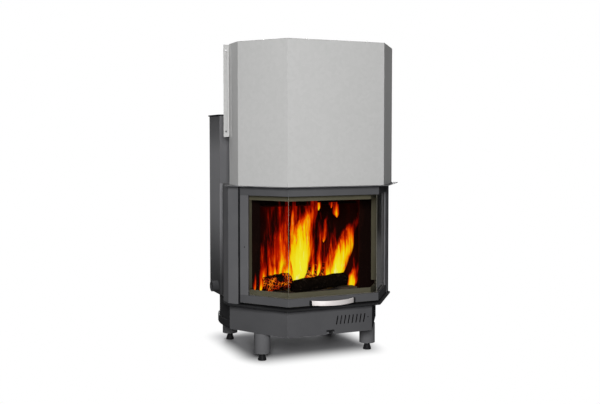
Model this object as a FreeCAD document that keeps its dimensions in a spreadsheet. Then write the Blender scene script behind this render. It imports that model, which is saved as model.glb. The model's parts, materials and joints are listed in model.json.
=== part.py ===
import FreeCAD, Part
import math
import os
import types

import Sketcher

# A water-jacketed wood fireplace with a three-sided glass door that lifts into a sheet hood.
# Millimetres, +Z up, +Y to the back. The origin is on the floor under the middle of the box.

SIZES = (
    # Boiler drum, seen from above: a round body about one upright axis
    ("drum_radius", 386, "outside of the round boiler body"),
    ("drum_wall", 5, "steel plate of the boiler"),
    ("jacket_gap", 60, "outside of the drum to the fire side of the jacket"),
    ("jacket_front", 165, "front ends of the jacket, ahead of the drum axis"),
    ("cheek_thick", 9, "plate that closes a front end of the jacket"),
    ("cheek_lap", 14, "how far a cheek plate laps past the jacket towards the fire"),
    # Floor, feet and legs
    ("leg_radius", 38, "leg tube"),
    ("leg_wall", 3, "wall of the leg tube"),
    ("leg_end_plate", 8, "threaded plate in the lower end of a leg"),
    ("leg_wide_share", 0.7124, "legs sideways, as a share of the drum's radius"),
    ("leg_deep_share", 0.6062, "legs front and back, as a share of the drum's radius"),
    ("foot_height", 35, "floor to the lower end of a leg"),
    ("foot_radius", 20, "foot on the floor"),
    ("foot_edge", 5, "upright rim of a foot"),
    ("foot_neck", 11, "top of a foot's cone"),
    ("stud_radius", 8, "threaded stud of a foot"),
    ("stud_length", 40, "stud above the foot"),
    ("running_gap", 0.05, "radial clearance of pins that turn"),
    ("seat_gap", 0.3, "clearance of pieces that rest or slide"),
    ("overrun", 5, "how far cuts run past the surface"),
    # Base and plinth
    ("base_height", 130, "floor to the underside of the base plate"),
    ("base_thick", 8, "base plate"),
    ("band_thick", 8, "band round the base"),
    ("band_height", 35, "band round the base"),
    ("band_front", 100, "front ends of the band, ahead of the drum axis"),
    ("plinth_height", 128, "plinth skirt"),
    ("plinth_sheet", 2, "plinth skirt sheet"),
    ("plinth_gap", 11, "plinth front ahead of the drum"),
    ("plinth_front_half", 215, "half the plinth's front"),
    ("plinth_side_gap", 5, "plinth's back corners outside the drum"),
    ("plinth_back", 106, "plinth's back corners ahead of the drum axis"),
    ("vent_pitch", 20, "between the air slots"),
    ("vent_wide", 6, "one air slot"),
    ("vent_tall", 40, "one air slot"),
    ("vent_lean", 7, "how far a slot leans over its height"),
    ("vent_first", 31, "middle of the first slot, from the middle"),
    ("vent_sill", 43, "lower end of the slots above the plinth's foot"),
    ("notch_half", 20, "half the lever notch"),
    ("notch_tall", 20, "lever notch"),
    ("shutter_sheet", 2, "sliding air shutter"),
    ("shutter_lap", 8, "shutter past the outermost slots"),
    ("shutter_stem_half", 6, "half the lever stem"),
    ("shutter_guide_tall", 6, "guide strip"),
    ("lever_reach", 14, "lever knob out of the notch"),
    ("lever_radius", 6, "lever knob"),
    ("inlet_half", 60, "half the air inlet in the drum"),
    ("inlet_tall", 60, "air inlet in the drum"),
    # Hearth
    ("hearth_thick", 10, "hearth plate"),
    ("hearth_inset", 14, "hearth lip behind the hood's face"),
    ("hearth_past", 68, "hearth lip past the hood's shoulder"),
    ("hearth_side_back", 110, "square sides of the hearth end here, ahead of the axis"),
    ("ash_half", 130, "half the ash opening"),
    ("ash_front", 150, "ash opening ahead of the axis"),
    ("ash_back", 110, "ash opening behind the axis"),
    ("pan_gap", 5, "ash pan inside the ash opening"),
    ("pan_height", 105, "ash pan"),
    ("pan_wall", 2, "ash pan sheet"),
    ("grate_lap", 18, "grate on the hearth plate"),
    ("grate_thick", 24, "grate"),
    ("grate_slot", 12, "gap between the bars"),
    ("grate_pitch", 26, "bar to bar"),
    ("brick_thick", 30, "hearth bricks"),
    ("brick_wall_gap", 66, "side bricks in from the fire-side wall"),
    ("brick_side_front", 170, "side brick ahead of the axis"),
    ("brick_clear", 5, "corners of the bricks clear of the round wall"),
    ("brick_front_gap", 84, "front bricks behind the seal frame"),
    ("brick_gap", 2, "joint between bricks"),
    # Bay front: everything three-sided is set in from the hood's outer faces
    ("hood_gap", 76, "hood front ahead of the drum"),
    ("hood_front_half", 239, "half the hood's front pane"),
    ("hood_side_gap", 11, "hood sides outside the drum"),
    ("bay_depth", 209, "depth of an angled side"),
    ("hood_side_depth", 120, "straight side of the hood"),
    ("hood_height", 650, "hood walls"),
    ("hood_sheet", 2, "hood sheet"),
    ("cover_lap", 6, "screws in from the edge of the hood's cover"),
    ("screw_radius", 4, "sheet screw head"),
    ("screw_head", 3, "sheet screw head"),
    ("bracket_sheet", 2, "wall bracket"),
    ("bracket_flange", 28, "bracket flange beside the hood"),
    ("bracket_leg", 28, "bracket leg on the hood"),
    ("bracket_length", 426, "wall bracket"),
    ("bracket_drop", 2, "bracket below the top of the hood"),
    ("bracket_hole", 4, "hole radius"),
    ("bracket_hole_end", 25, "hole from the bracket's end"),
    ("bracket_hole_edge", 12, "hole from the flange's edge"),
    ("rim_reach", 23, "lintel rim ahead of the hood"),
    ("rim_inner", 21, "lintel rim behind the hood's face"),
    ("rim_thick", 3, "lintel rim"),
    ("rim_past", 60, "lintel rim past the hood's shoulder"),
    ("rim_tab_past", 28, "where the rim widens to sit on the posts"),
    ("post_height", 545, "fixed front posts"),
    ("post_start_past", 18, "post past the hood's shoulder"),
    ("post_end_past", 72, "post past the hood's shoulder"),
    ("post_sheet", 3, "post sheet"),
    ("post_return", 71, "side of a post"),
    ("ceiling_thick", 4, "plate over the front of the fire"),
    ("seal_inset", 64.5, "fixed seal frame behind the hood's face"),
    ("seal_thick", 3.5, "fixed seal frame"),
    ("seal_jamb", 16, "width of the seal frame's jambs"),
    ("seal_past", 6, "seal frame past the hood's shoulder"),
    ("seal_flange", 34, "jamb's flange towards the fire"),
    ("seal_sill", 66, "seal frame above the hearth"),
    ("seal_head", 64, "seal frame below the ceiling"),
    # Lifting door
    ("door_inset", 24, "door face behind the hood's face"),
    ("door_depth", 36, "door frame front to back"),
    ("door_sill_gap", 10, "door above the hearth"),
    ("door_height", 530, "door"),
    ("door_past", 7, "door past the hood's shoulder"),
    ("stile_wide", 42, "end stile"),
    ("rail_tall", 36, "door rails"),
    ("lip_thick", 8, "lip in front of the glass"),
    ("lip_lap", 14, "lip over the glass edge"),
    ("glass_back", 2, "glass behind the lip"),
    ("glass_thick", 5, "ceramic glass"),
    ("glass_joint", 1, "joint between panes"),
    ("glass_edge_gap", 2, "glass to the frame round it"),
    ("retainer_thick", 4, "strip behind the glass"),
    ("gasket_thick", 4, "rope gasket behind the door frame"),
    ("gasket_wide", 10, "rope gasket"),
    ("gasket_in", 4, "gasket from the outer edge of the frame"),
    ("handle_half", 105, "half the handle bar"),
    ("handle_left", 12, "handle's middle, left of the door's"),
    ("handle_tall", 22, "handle bar"),
    ("handle_bow", 40, "how far the bar bows out"),
    ("handle_thick", 6, "handle bar"),
    ("handle_stand", 2, "bar ends off the door"),
    ("handle_rise", 2, "bar above the door's lower edge"),
    ("handle_block", 8, "block at each end of the bar"),
    ("handle_block_deep", 13, "block at each end of the bar"),
    ("shoe_reach", 11, "guide shoe out of the door's end"),
    ("shoe_inset", 33, "guide shoe behind the hood's face"),
    ("shoe_thick", 18, "guide shoe"),
    ("shoe_tall", 50, "guide shoe"),
    ("shoe_end", 20, "shoe from the door's top and bottom"),
    # Lifting gear
    ("rail_past", 9, "guide rail past the hood's shoulder"),
    ("rail_wide", 14, "guide rail"),
    ("rail_inset", 28, "guide rail behind the hood's face"),
    ("rail_deep", 28, "guide rail"),
    ("rail_sheet", 2, "guide rail"),
    ("rail_length", 1100, "guide rail"),
    ("cable_before", 6, "cable before the hood's shoulder"),
    ("cable_inset", 42, "cable behind the hood's face"),
    ("cable_radius", 2, "wire rope"),
    ("lug_half", 10, "half a cable lug"),
    ("lug_tall", 16, "cable lug"),
    ("pulley_radius", 32, "cable's middle round the pulley"),
    ("pulley_flange", 38, "pulley flange"),
    ("pulley_half_wide", 7, "half the pulley"),
    ("pulley_drop", 46, "pulley axle below the hood's cover"),
    ("axle_radius", 5, "pulley axle"),
    ("axle_bracket_thick", 3, "pulley bracket"),
    ("axle_bracket_half", 22, "half the bracket's height"),
    ("weight_past", 12, "counterweight past the ropes"),
    ("weight_deep", 60, "counterweight bar"),
    ("weight_tall", 75, "counterweight bar"),
    ("weight_hang", 8, "counterweight below the pulley"),
    # Heat exchanger over the rear of the fire
    ("plate_thick", 8, "tube plates"),
    ("exchanger_height", 240, "between the tube plates"),
    ("upper_height", 320, "upper boiler"),
    ("tube_radius", 40, "smoke tube"),
    ("tube_wall", 4, "smoke tube"),
    ("tube_pitch", 120, "smoke tubes, sideways"),
    ("tube_row", 155, "row of tubes behind the axis"),
    ("tube_stand", 4, "tubes out of the upper plate"),
    ("wool_thick", 6, "insulation"),
    ("wool_gap", 2, "insulation off the drum"),
    ("casing_gap", 17, "casing flats outside the drum"),
    ("casing_flat_share", 0.397, "casing side behind the axis, as a share of its half width"),
    ("casing_sheet", 2, "casing sheet"),
    ("casing_rise", 8, "casing above the hearth"),
    ("lid_thick", 6, "lid"),
    ("lid_lap", 6, "lid past the casing"),
    ("flue_radius", 100, "inside of the flue collar"),
    ("flue_wall", 3, "flue collar"),
    ("flue_height", 80, "flue collar"),
    ("flue_back", 180, "flue collar behind the axis"),
    ("socket_radius", 26, "water socket"),
    ("socket_bore", 19.5, "water socket thread"),
    ("socket_length", 31, "water socket"),
    ("socket_step", 0.5, "hole in the drum round a socket's bore"),
    ("return_back", 42, "return sockets behind the axis"),
    ("return_rise", 38, "return sockets above the casing's foot"),
    ("flow_half", 110, "flow sockets from the middle"),
    ("flow_drop", 140, "flow sockets below the lid"),
    ("small_radius", 14, "probe and drain sockets"),
    ("small_bore", 9.3, "probe and drain sockets"),
    ("baffle_side_gap", 91, "baffle in from the round wall, sideways"),
    ("baffle_clear", 14, "baffle's rear corners clear of the round wall"),
    ("baffle_thick", 25, "smoke baffle"),
    ("baffle_drop", 74, "baffle below the ceiling"),
    ("baffle_front", 60, "baffle ahead of the axis"),
    ("bar_radius", 9, "baffle bars"),
    ("bar_inset", 45, "baffle bars in from the baffle's edges"),
)

VENT_COUNT = 8
GRATE_SLOTS = 9
SIDES = (("left", -1), ("right", 1))


class Size:
    """A size held twice: as a number to draw with and as the text of its expression."""

    def __init__(self, value, text):
        self.value = value
        self.text = text

    def __add__(self, other):
        other = as_size(other)
        return Size(self.value + other.value, f"({self.text} + {other.text})")

    def __sub__(self, other):
        other = as_size(other)
        return Size(self.value - other.value, f"({self.text} - {other.text})")

    def __mul__(self, other):
        other = as_size(other)
        return Size(self.value * other.value, f"({self.text} * {other.text})")

    def __truediv__(self, other):
        other = as_size(other)
        return Size(self.value / other.value, f"({self.text} / {other.text})")

    def __rmul__(self, other):
        return as_size(other) * self

    def __neg__(self):
        return as_size(-1) * self


def as_size(value):
    """A plain number as a Size, and a Size as it is."""
    return value if isinstance(value, Size) else Size(value, f"({value})")


def root(size):
    """Square root of a Size."""
    return Size(math.sqrt(size.value), f"sqrt({size.text})")


def fill_sheet(document):
    """The sheet of driving sizes, and the same sizes by name."""
    sheet = document.addObject("Spreadsheet::Sheet", "sizes")
    named = {}
    for row, (alias, value, note) in enumerate(SIZES, start=1):
        sheet.set(f"A{row}", note)
        sheet.set(f"B{row}", str(value))
        sheet.setAlias(f"B{row}", alias)
        named[alias] = Size(value, f"sizes.{alias}")
    return types.SimpleNamespace(**named)


doc = FreeCAD.newDocument("boiler_fireplace")
v = fill_sheet(doc)
doc.recompute()
pieces = []
ZERO = Size(0, "0")


def new_body(label):
    """A sub-part's body, which may hold several like solids."""
    body = doc.addObject("PartDesign::Body", label)
    body.AllowCompound = True
    pieces.append(body)
    return body


def sketch_on(body, role, offset):
    """A sketch on one of the body's own planes, moved along the plane's normal."""
    planes = {feature.Role: feature for feature in body.Origin.OriginFeatures}
    sketch = body.newObject("Sketcher::SketchObject", "outline")
    sketch.AttachmentSupport = (planes[role], [""])
    sketch.MapMode = "FlatFace"
    sketch.setExpression("AttachmentOffset.Base.z", offset.text)
    return sketch


def hold_point(sketch, geometry, vertex, point):
    """Tie a point of the sketch to two Sizes, measured from the sketch's origin."""
    for kind, size in zip(("DistanceX", "DistanceY"), point):
        size = as_size(size)
        index = sketch.addConstraint(Sketcher.Constraint(kind, -1, 1, geometry, vertex, float(size.value)))
        sketch.setExpression(f"Constraints[{index}]", size.text)


def draw_loop(sketch, points):
    """A closed outline of straight lines through the points."""
    first = sketch.GeometryCount
    count = len(points)
    corners = [FreeCAD.Vector(as_size(x).value, as_size(y).value, 0) for x, y in points]
    for i in range(count):
        sketch.addGeometry(Part.LineSegment(corners[i], corners[(i + 1) % count]))
    for i in range(count):
        sketch.addConstraint(Sketcher.Constraint("Coincident", first + i, 2, first + (i + 1) % count, 1))
        hold_point(sketch, first + i, 1, points[i])


def draw_circle(sketch, centre, radius):
    """A circle about a point."""
    middle = FreeCAD.Vector(as_size(centre[0]).value, as_size(centre[1]).value, 0)
    circle = sketch.addGeometry(Part.Circle(middle, FreeCAD.Vector(0, 0, 1), radius.value))
    hold_point(sketch, circle, 3, centre)
    index = sketch.addConstraint(Sketcher.Constraint("Radius", circle, radius.value))
    sketch.setExpression(f"Constraints[{index}]", radius.text)


def draw(sketch, loops, circles):
    """Outlines and circles on one sketch."""
    for points in loops:
        draw_loop(sketch, points)
    for centre, radius in circles:
        draw_circle(sketch, centre, radius)


def pad(body, bottom, top, loops=(), circles=()):
    """Raise outlines drawn on the plan from one height to another."""
    sketch = sketch_on(body, "XY_Plane", bottom)
    draw(sketch, loops, circles)
    raised = body.newObject("PartDesign::Pad", "pad")
    raised.Profile = sketch
    raised.setExpression("Length", (top - bottom).text)
    return raised


def cut(body, role, offset, length, loops=(), circles=()):
    """Cut outlines out of the body against their plane's normal, or both ways if no length is given."""
    doc.recompute()
    volume_before = body.Shape.Volume
    sketch = sketch_on(body, role, offset)
    draw(sketch, loops, circles)
    pocket = body.newObject("PartDesign::Pocket", "pocket")
    pocket.Profile = sketch
    if length is None:
        pocket.Type = "ThroughAll"
        pocket.SideType = "Symmetric"
    else:
        pocket.setExpression("Length", length.text)
    doc.recompute()
    if not body.Shape.Volume < volume_before:
        raise RuntimeError(f"a cut in {body.Label} removed nothing")


def cut_down(body, top, bottom, loops=(), circles=()):
    """Cut outlines drawn on the plan from one height down to another."""
    cut(body, "XY_Plane", top, top - bottom, loops, circles)


def cut_back(body, front, back, loops=(), circles=()):
    """Cut outlines drawn on the elevation from one Y back to another."""
    cut(body, "XZ_Plane", -front, back - front, loops, circles)


def turned(body, profile):
    """Turn a half profile of radius and height points about the body's own Z."""
    sketch = sketch_on(body, "XZ_Plane", ZERO)
    draw_loop(sketch, profile)
    revolution = body.newObject("PartDesign::Revolution", "revolution")
    revolution.Profile = sketch
    revolution.ReferenceAxis = (sketch, ["V_Axis"])
    return revolution


def place(piece, x, y, z, rotation=None):
    """Put a piece at three Sizes."""
    if rotation is not None:
        piece.Placement = FreeCAD.Placement(FreeCAD.Vector(), rotation)
    for axis, size in zip("xyz", (x, y, z)):
        piece.setExpression(f"Placement.Base.{axis}", as_size(size).text)


def cylinder(name, radius, length, x, y, z, rotation=None):
    """A plain cylinder from a point along its own axis."""
    solid = doc.addObject("Part::Cylinder", name)
    solid.setExpression("Radius", radius.text)
    solid.setExpression("Height", length.text)
    place(solid, x, y, z, rotation)
    return solid


def boolean(kind, name, base, tool):
    """A boolean of two solids."""
    result = doc.addObject(kind, name)
    result.Base = base
    result.Tool = tool
    return result


def group(label, members):
    """Like pieces kept as one node."""
    compound = doc.addObject("Part::Compound", label)
    compound.Links = members
    pieces.append(compound)
    return compound


def rectangle(x0, x1, y0, y1):
    """Four corners."""
    return [(x0, y0), (x1, y0), (x1, y1), (x0, y1)]


TO_RIGHT = FreeCAD.Rotation(FreeCAD.Vector(0, 1, 0), 90)
TO_LEFT = FreeCAD.Rotation(FreeCAD.Vector(0, 1, 0), -90)
TO_BACK = FreeCAD.Rotation(FreeCAD.Vector(1, 0, 0), -90)
TO_FRONT = FreeCAD.Rotation(FreeCAD.Vector(1, 0, 0), 90)

# Where things stand, worked out from the driving sizes
hood_front = v.drum_radius + v.hood_gap
bay_run = v.drum_radius + v.hood_side_gap - v.hood_front_half
plinth_front = v.drum_radius + v.plinth_gap
plinth_run = v.drum_radius + v.plinth_side_gap - v.plinth_front_half
plinth_depth = plinth_front - v.plinth_back
casing_half = v.drum_radius + v.casing_gap
casing_flat = casing_half * v.casing_flat_share
leg_wide = v.drum_radius * v.leg_wide_share
leg_deep = v.drum_radius * v.leg_deep_share
axis_y = (hood_front + v.rim_reach - casing_half - v.socket_length) / 2
base_top = v.base_height + v.base_thick
plinth_top = v.base_height + v.plinth_height
hearth_top = plinth_top + v.hearth_thick
rim_foot = hearth_top + v.post_height
hood_foot = rim_foot + v.rim_thick
hood_top = hood_foot + v.hood_height
ceiling_foot = hood_foot - v.ceiling_thick
door_foot = hearth_top + v.door_sill_gap
door_top = door_foot + v.door_height
lower_plate_top = ceiling_foot + v.plate_thick
upper_top = lower_plate_top + v.upper_height
liner_radius = v.drum_radius - v.jacket_gap
fire_radius = liner_radius - v.drum_wall
casing_foot = hearth_top + v.casing_rise
return_height = casing_foot + v.return_rise
flow_height = upper_top - v.flow_drop
hood_back = axis_y - hood_front + v.bay_depth + v.hood_side_depth
hood_half = v.hood_front_half + bay_run
pulley_z = hood_top - v.pulley_drop


def back(size):
    """Y of a point given behind the drum axis."""
    return axis_y + size


def chord_half(offset):
    """Half the chord of the fire-side wall at an offset from the drum axis."""
    return root(fire_radius * fire_radius - offset * offset)


class Bay:
    """A three-sided front: a flat middle and two angled sides, with insets measured inwards."""

    def __init__(self, front, half, run, depth):
        self.front = front
        self.half = half
        self.run = run
        self.depth = depth
        self.side = root(run * run + depth * depth)

    def corner(self, inset, side):
        """Where the middle meets a side, at an inset."""
        return (side * (self.half - inset * (self.side - self.run) / self.depth), self.front + inset)

    def along(self, place_along, inset, side):
        """A point along an angled side, at an inset."""
        x = self.half + (place_along * self.run - inset * self.depth) / self.side
        return (side * x, self.front + (place_along * self.depth + inset * self.run) / self.side)

    def band(self, outer, inner, end):
        """A strip round all three sides between two insets."""
        return [
            self.along(end, outer, -1), self.corner(outer, -1), self.corner(outer, 1),
            self.along(end, outer, 1), self.along(end, inner, 1), self.corner(inner, 1),
            self.corner(inner, -1), self.along(end, inner, -1),
        ]

    def patch(self, start, end, outer, inner, side):
        """A four-sided patch of one angled side."""
        return [
            self.along(start, outer, side), self.along(end, outer, side),
            self.along(end, inner, side), self.along(start, inner, side),
        ]


bay = Bay(axis_y - hood_front, v.hood_front_half, bay_run, v.bay_depth)
plinth_bay = Bay(axis_y - plinth_front, v.plinth_front_half, plinth_run, plinth_depth)
AXIS = (ZERO, axis_y)

# Places along an angled side, measured from its front corner past or before the hood's shoulder
hearth_end = bay.side + v.hearth_past
rim_end = bay.side + v.rim_past
rim_tab = bay.side + v.rim_tab_past
post_start = bay.side + v.post_start_past
post_end = bay.side + v.post_end_past
seal_end = bay.side + v.seal_past
seal_start = seal_end - v.seal_jamb
door_end = bay.side + v.door_past
rail_start = bay.side + v.rail_past
cable_place = bay.side - v.cable_before


def drum_ring(label, outer, wall, bottom, top, front=None):
    """A round wall about the drum axis, open ahead of a given Y."""
    body = new_body(label)
    pad(body, bottom, top, circles=[(AXIS, outer), (AXIS, outer - wall)])
    if front is not None:
        reach = outer + v.overrun
        opening = rectangle(-reach, reach, axis_y - reach, front)
        cut_down(body, top + v.overrun, bottom - v.overrun, [opening])
    return body


def make_legs_and_feet():
    """Four leg tubes with a threaded end plate, and four screw feet."""
    tubes = []
    for depth_name, depth_sign in (("front", -1), ("rear", 1)):
        for side_name, side in SIDES:
            x = side * leg_wide
            y = back(depth_sign * leg_deep)
            outer = cylinder("leg_outside", v.leg_radius, v.base_height - v.foot_height, x, y, v.foot_height)
            hollow = cylinder("leg_inside", v.leg_radius - v.leg_wall, v.base_height, x, y,
                              v.foot_height + v.leg_end_plate)
            thread = cylinder("leg_thread", v.stud_radius + v.running_gap, v.base_height, x, y, ZERO)
            tube = boolean("Part::Cut", "leg_tube", outer, hollow)
            tubes.append(boolean("Part::Cut", "leg_threaded", tube, thread))
            foot = new_body(f"foot_{depth_name}_{side_name}")
            shoulder = v.foot_height - v.seat_gap
            turned(foot, [(ZERO, ZERO), (v.foot_radius, ZERO), (v.foot_radius, v.foot_edge),
                          (v.foot_neck, shoulder), (v.stud_radius, shoulder),
                          (v.stud_radius, shoulder + v.stud_length), (ZERO, shoulder + v.stud_length)])
            place(foot, x, y, ZERO)
    group("leg_tubes", tubes)


def make_base():
    """Round base plate, the band round its back and the drum wall of the ash space."""
    plate = new_body("base_plate")
    pad(plate, v.base_height, base_top, circles=[(AXIS, v.drum_radius)])
    drum_ring("base_band", v.drum_radius + v.band_thick, v.band_thick, v.base_height,
              v.base_height + v.band_height, back(-v.band_front))
    drum = drum_ring("ash_drum", v.drum_radius, v.drum_wall, base_top, plinth_top)
    sill = base_top + (plinth_top - base_top - v.inlet_tall) / 2
    inlet = rectangle(-v.inlet_half, v.inlet_half, sill, sill + v.inlet_tall)
    cut_back(drum, back(-v.drum_radius - v.overrun), axis_y, [inlet])


def vent_slots(shift):
    """The leaning air slots as outlines on the elevation, moved sideways."""
    low = v.base_height + v.vent_sill
    half = v.vent_wide / 2
    slots = []
    for i in range(VENT_COUNT):
        x = v.vent_first + i * v.vent_pitch + shift
        slots.append([(x - half, low), (x + half, low), (x + half + v.vent_lean, low + v.vent_tall),
                      (x - half + v.vent_lean, low + v.vent_tall)])
    return slots


def make_plinth():
    """Skirt under the hearth with air slots and a lever notch, and the shutter behind the slots."""
    skirt = new_body("plinth_skirt")
    pad(skirt, v.base_height, plinth_top, [plinth_bay.band(ZERO, v.plinth_sheet, plinth_bay.side)])
    front = plinth_bay.front
    notch = rectangle(-v.notch_half, v.notch_half, v.base_height - v.overrun, v.base_height + v.notch_tall)
    cut_back(skirt, front - v.overrun, front + v.plinth_sheet + v.overrun, vent_slots(ZERO) + [notch])

    low = v.base_height + v.vent_sill - v.shutter_lap
    high = v.base_height + v.vent_sill + v.vent_tall + v.shutter_lap
    shutter_left = -v.shutter_stem_half
    shutter_right = v.vent_first + (VENT_COUNT - 1) * v.vent_pitch + v.vent_lean + v.vent_pitch
    sheet_front = front + v.plinth_sheet + v.seat_gap
    sheet_back = sheet_front + v.shutter_sheet
    shutter = new_body("air_shutter")
    pad(shutter, low, high, [rectangle(shutter_left, shutter_right, sheet_front, sheet_back)])
    stem_foot = v.base_height + v.notch_tall / 2 - v.lever_radius
    stem = rectangle(-v.shutter_stem_half, v.shutter_stem_half, sheet_front, sheet_back)
    pad(shutter, stem_foot, low, [stem])
    cut_back(shutter, sheet_front - v.overrun, sheet_back + v.overrun, vent_slots(ZERO))
    reach = v.lever_reach + v.plinth_sheet + v.seat_gap
    knob = cylinder("air_lever", v.lever_radius, reach, ZERO, sheet_front, v.base_height + v.notch_tall / 2,
                    TO_FRONT)
    pieces.append(knob)

    guides = new_body("shutter_guides")
    guide_left = v.notch_half + v.shutter_stem_half
    strip = rectangle(guide_left, shutter_right + v.vent_pitch / 2, front + v.plinth_sheet,
                      sheet_back + v.seat_gap)
    pad(guides, high + v.seat_gap, high + v.seat_gap + v.shutter_guide_tall, [strip])
    pad(guides, low - v.seat_gap - v.shutter_guide_tall, low - v.seat_gap, [strip])


def make_hearth():
    """Hearth plate with its lip and ash opening, the grate, the bricks and the ash pan."""
    plate = new_body("hearth_plate")
    side_y = back(-v.hearth_side_back)
    lip_right = bay.along(hearth_end, v.hearth_inset, 1)
    lip_left = bay.along(hearth_end, v.hearth_inset, -1)
    pad(plate, plinth_top, hearth_top, [[
        lip_left, bay.corner(v.hearth_inset, -1), bay.corner(v.hearth_inset, 1), lip_right,
        (lip_right[0], side_y), (v.drum_radius - v.drum_wall, axis_y),
        (v.drum_wall - v.drum_radius, axis_y), (lip_left[0], side_y)]])
    pad(plate, plinth_top, hearth_top, circles=[(AXIS, v.drum_radius)])
    ash_front = back(-v.ash_front)
    ash_back = back(v.ash_back)
    cut_down(plate, hearth_top + v.overrun, plinth_top - v.overrun,
             [rectangle(-v.ash_half, v.ash_half, ash_front, ash_back)])

    grate = new_body("fire_grate")
    half = v.ash_half + v.grate_lap
    pad(grate, hearth_top, hearth_top + v.grate_thick,
        [rectangle(-half, half, ash_front - v.grate_lap, ash_back + v.grate_lap)])
    first = -(GRATE_SLOTS - 1) / 2 * v.grate_pitch - v.grate_slot / 2
    starts = [first + i * v.grate_pitch for i in range(GRATE_SLOTS)]
    slots = [rectangle(start, start + v.grate_slot, ash_front, ash_back) for start in starts]
    cut_down(grate, hearth_top + v.grate_thick + v.overrun, hearth_top - v.overrun, slots)

    bricks = new_body("hearth_bricks")
    inner = half + v.brick_gap
    outer = fire_radius - v.brick_wall_gap
    top = hearth_top + v.brick_thick
    side_front = back(-v.brick_side_front)
    side_back = back(chord_half(outer) - v.brick_clear)
    rear = ash_back + v.grate_lap + v.brick_gap
    front = ash_front - v.grate_lap - v.brick_gap
    front_edge = bay.front + v.seal_inset + v.seal_thick + v.brick_front_gap
    pad(bricks, hearth_top, top, [
        rectangle(inner, outer, side_front, side_back),
        rectangle(-outer, -inner, side_front, side_back),
        rectangle(-half, half, rear, back(chord_half(half) - v.brick_clear)),
        rectangle(-half, half, front_edge, front)])

    pan = new_body("ash_pan")
    pan_top = base_top + v.pan_height
    pan_half = v.ash_half - v.pan_gap
    pan_front = ash_front + v.pan_gap
    pan_back = ash_back - v.pan_gap
    pad(pan, base_top, pan_top, [rectangle(-pan_half, pan_half, pan_front, pan_back)])
    cut_down(pan, pan_top + v.overrun, base_top + v.pan_wall,
             [rectangle(v.pan_wall - pan_half, pan_half - v.pan_wall, pan_front + v.pan_wall,
                        pan_back - v.pan_wall)])


def make_firebox():
    """The C-shaped water jacket round the fire, the plates that close its front ends and the seal frame."""
    front = back(-v.jacket_front)
    shell = drum_ring("boiler_shell", v.drum_radius, v.drum_wall, hearth_top, ceiling_foot, front)
    drum_ring("firebox_liner", liner_radius, v.drum_wall, hearth_top, ceiling_foot, front)
    cheek_in = chord_half(v.jacket_front) - v.cheek_lap
    cheek_front = front - v.cheek_thick
    post_inside = bay.along(post_end, v.door_inset, 1)[0] - v.post_sheet
    cheeks = new_body("cheek_plates")
    pad(cheeks, hearth_top, ceiling_foot, [rectangle(cheek_in, post_inside, cheek_front, front),
                                           rectangle(-post_inside, -cheek_in, cheek_front, front)])

    inner = v.seal_inset + v.seal_thick
    inner_end = seal_end - v.seal_thick * (bay.side - bay.depth) / bay.run
    halves = {}
    for _, side in SIDES:
        outer_tip = bay.along(seal_end, v.seal_inset, side)
        halves[side] = [outer_tip, (outer_tip[0], cheek_front),
                        (outer_tip[0] - side * v.seal_thick, cheek_front), bay.along(inner_end, inner, side)]
    ring = [bay.corner(v.seal_inset, -1), bay.corner(v.seal_inset, 1)] + halves[1]
    ring += [bay.corner(inner, 1), bay.corner(inner, -1)] + halves[-1][::-1]
    sill_top = hearth_top + v.seal_sill
    head_foot = ceiling_foot - v.seal_head
    sill = new_body("seal_sill")
    pad(sill, hearth_top, sill_top, [ring])
    head = new_body("seal_head")
    pad(head, head_foot, ceiling_foot, [ring])
    jambs = new_body("seal_jambs")
    flange_side = seal_start + v.seal_thick
    flange_end = v.seal_inset + v.seal_flange
    pad(jambs, sill_top, head_foot, [
        [bay.along(seal_start, v.seal_inset, side)] + halves[side]
        + [bay.along(flange_side, inner, side), bay.along(flange_side, flange_end, side),
           bay.along(seal_start, flange_end, side)]
        for _, side in SIDES])

    ceiling = new_body("ceiling_plate")
    edge_right = bay.along(post_end, v.seal_inset, 1)
    edge_left = bay.along(post_end, v.seal_inset, -1)
    side_y = back(-v.hearth_side_back)
    pad(ceiling, ceiling_foot, hood_foot, [[
        edge_left, bay.corner(v.seal_inset, -1), bay.corner(v.seal_inset, 1), edge_right,
        (post_inside, edge_right[1]), (post_inside, side_y), (v.drum_radius, axis_y),
        (-v.drum_radius, axis_y), (-post_inside, side_y), (-post_inside, edge_left[1])]])
    return shell


def make_front_frame():
    """Posts beside the door and the rim over it."""
    inner = v.door_inset + v.post_sheet
    inner_end = post_end - v.post_sheet * (bay.side - bay.depth) / bay.run
    outlines = []
    for _, side in SIDES:
        tip = bay.along(post_end, v.door_inset, side)
        back_y = tip[1] + v.post_return
        inside_x = tip[0] - side * v.post_sheet
        outlines.append([
            bay.along(post_start, v.door_inset, side), tip, (tip[0], back_y), (inside_x, back_y),
            bay.along(inner_end, inner, side), bay.along(post_start, inner, side)])
    posts = new_body("front_posts")
    pad(posts, hearth_top, rim_foot, outlines)
    rim = new_body("lintel_rim")
    pad(rim, rim_foot, hood_foot, [[
        bay.along(rim_end, -v.rim_reach, -1), bay.corner(-v.rim_reach, -1), bay.corner(-v.rim_reach, 1),
        bay.along(rim_end, -v.rim_reach, 1), bay.along(rim_end, inner, 1), bay.along(rim_tab, inner, 1),
        bay.along(rim_tab, v.rim_inner, 1), bay.corner(v.rim_inner, 1), bay.corner(v.rim_inner, -1),
        bay.along(rim_tab, v.rim_inner, -1), bay.along(rim_tab, inner, -1),
        bay.along(rim_end, inner, -1)]])


def hood_outline(inset):
    """The hood seen from above, at an inset, from the left back corner to the right one."""
    wall = inset * (bay.side - bay.depth) / bay.run
    shoulder = bay.along(bay.side - wall, inset, 1)
    return [(-shoulder[0], hood_back), (-shoulder[0], shoulder[1]), bay.corner(inset, -1),
            bay.corner(inset, 1), shoulder, (shoulder[0], hood_back)]


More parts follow.
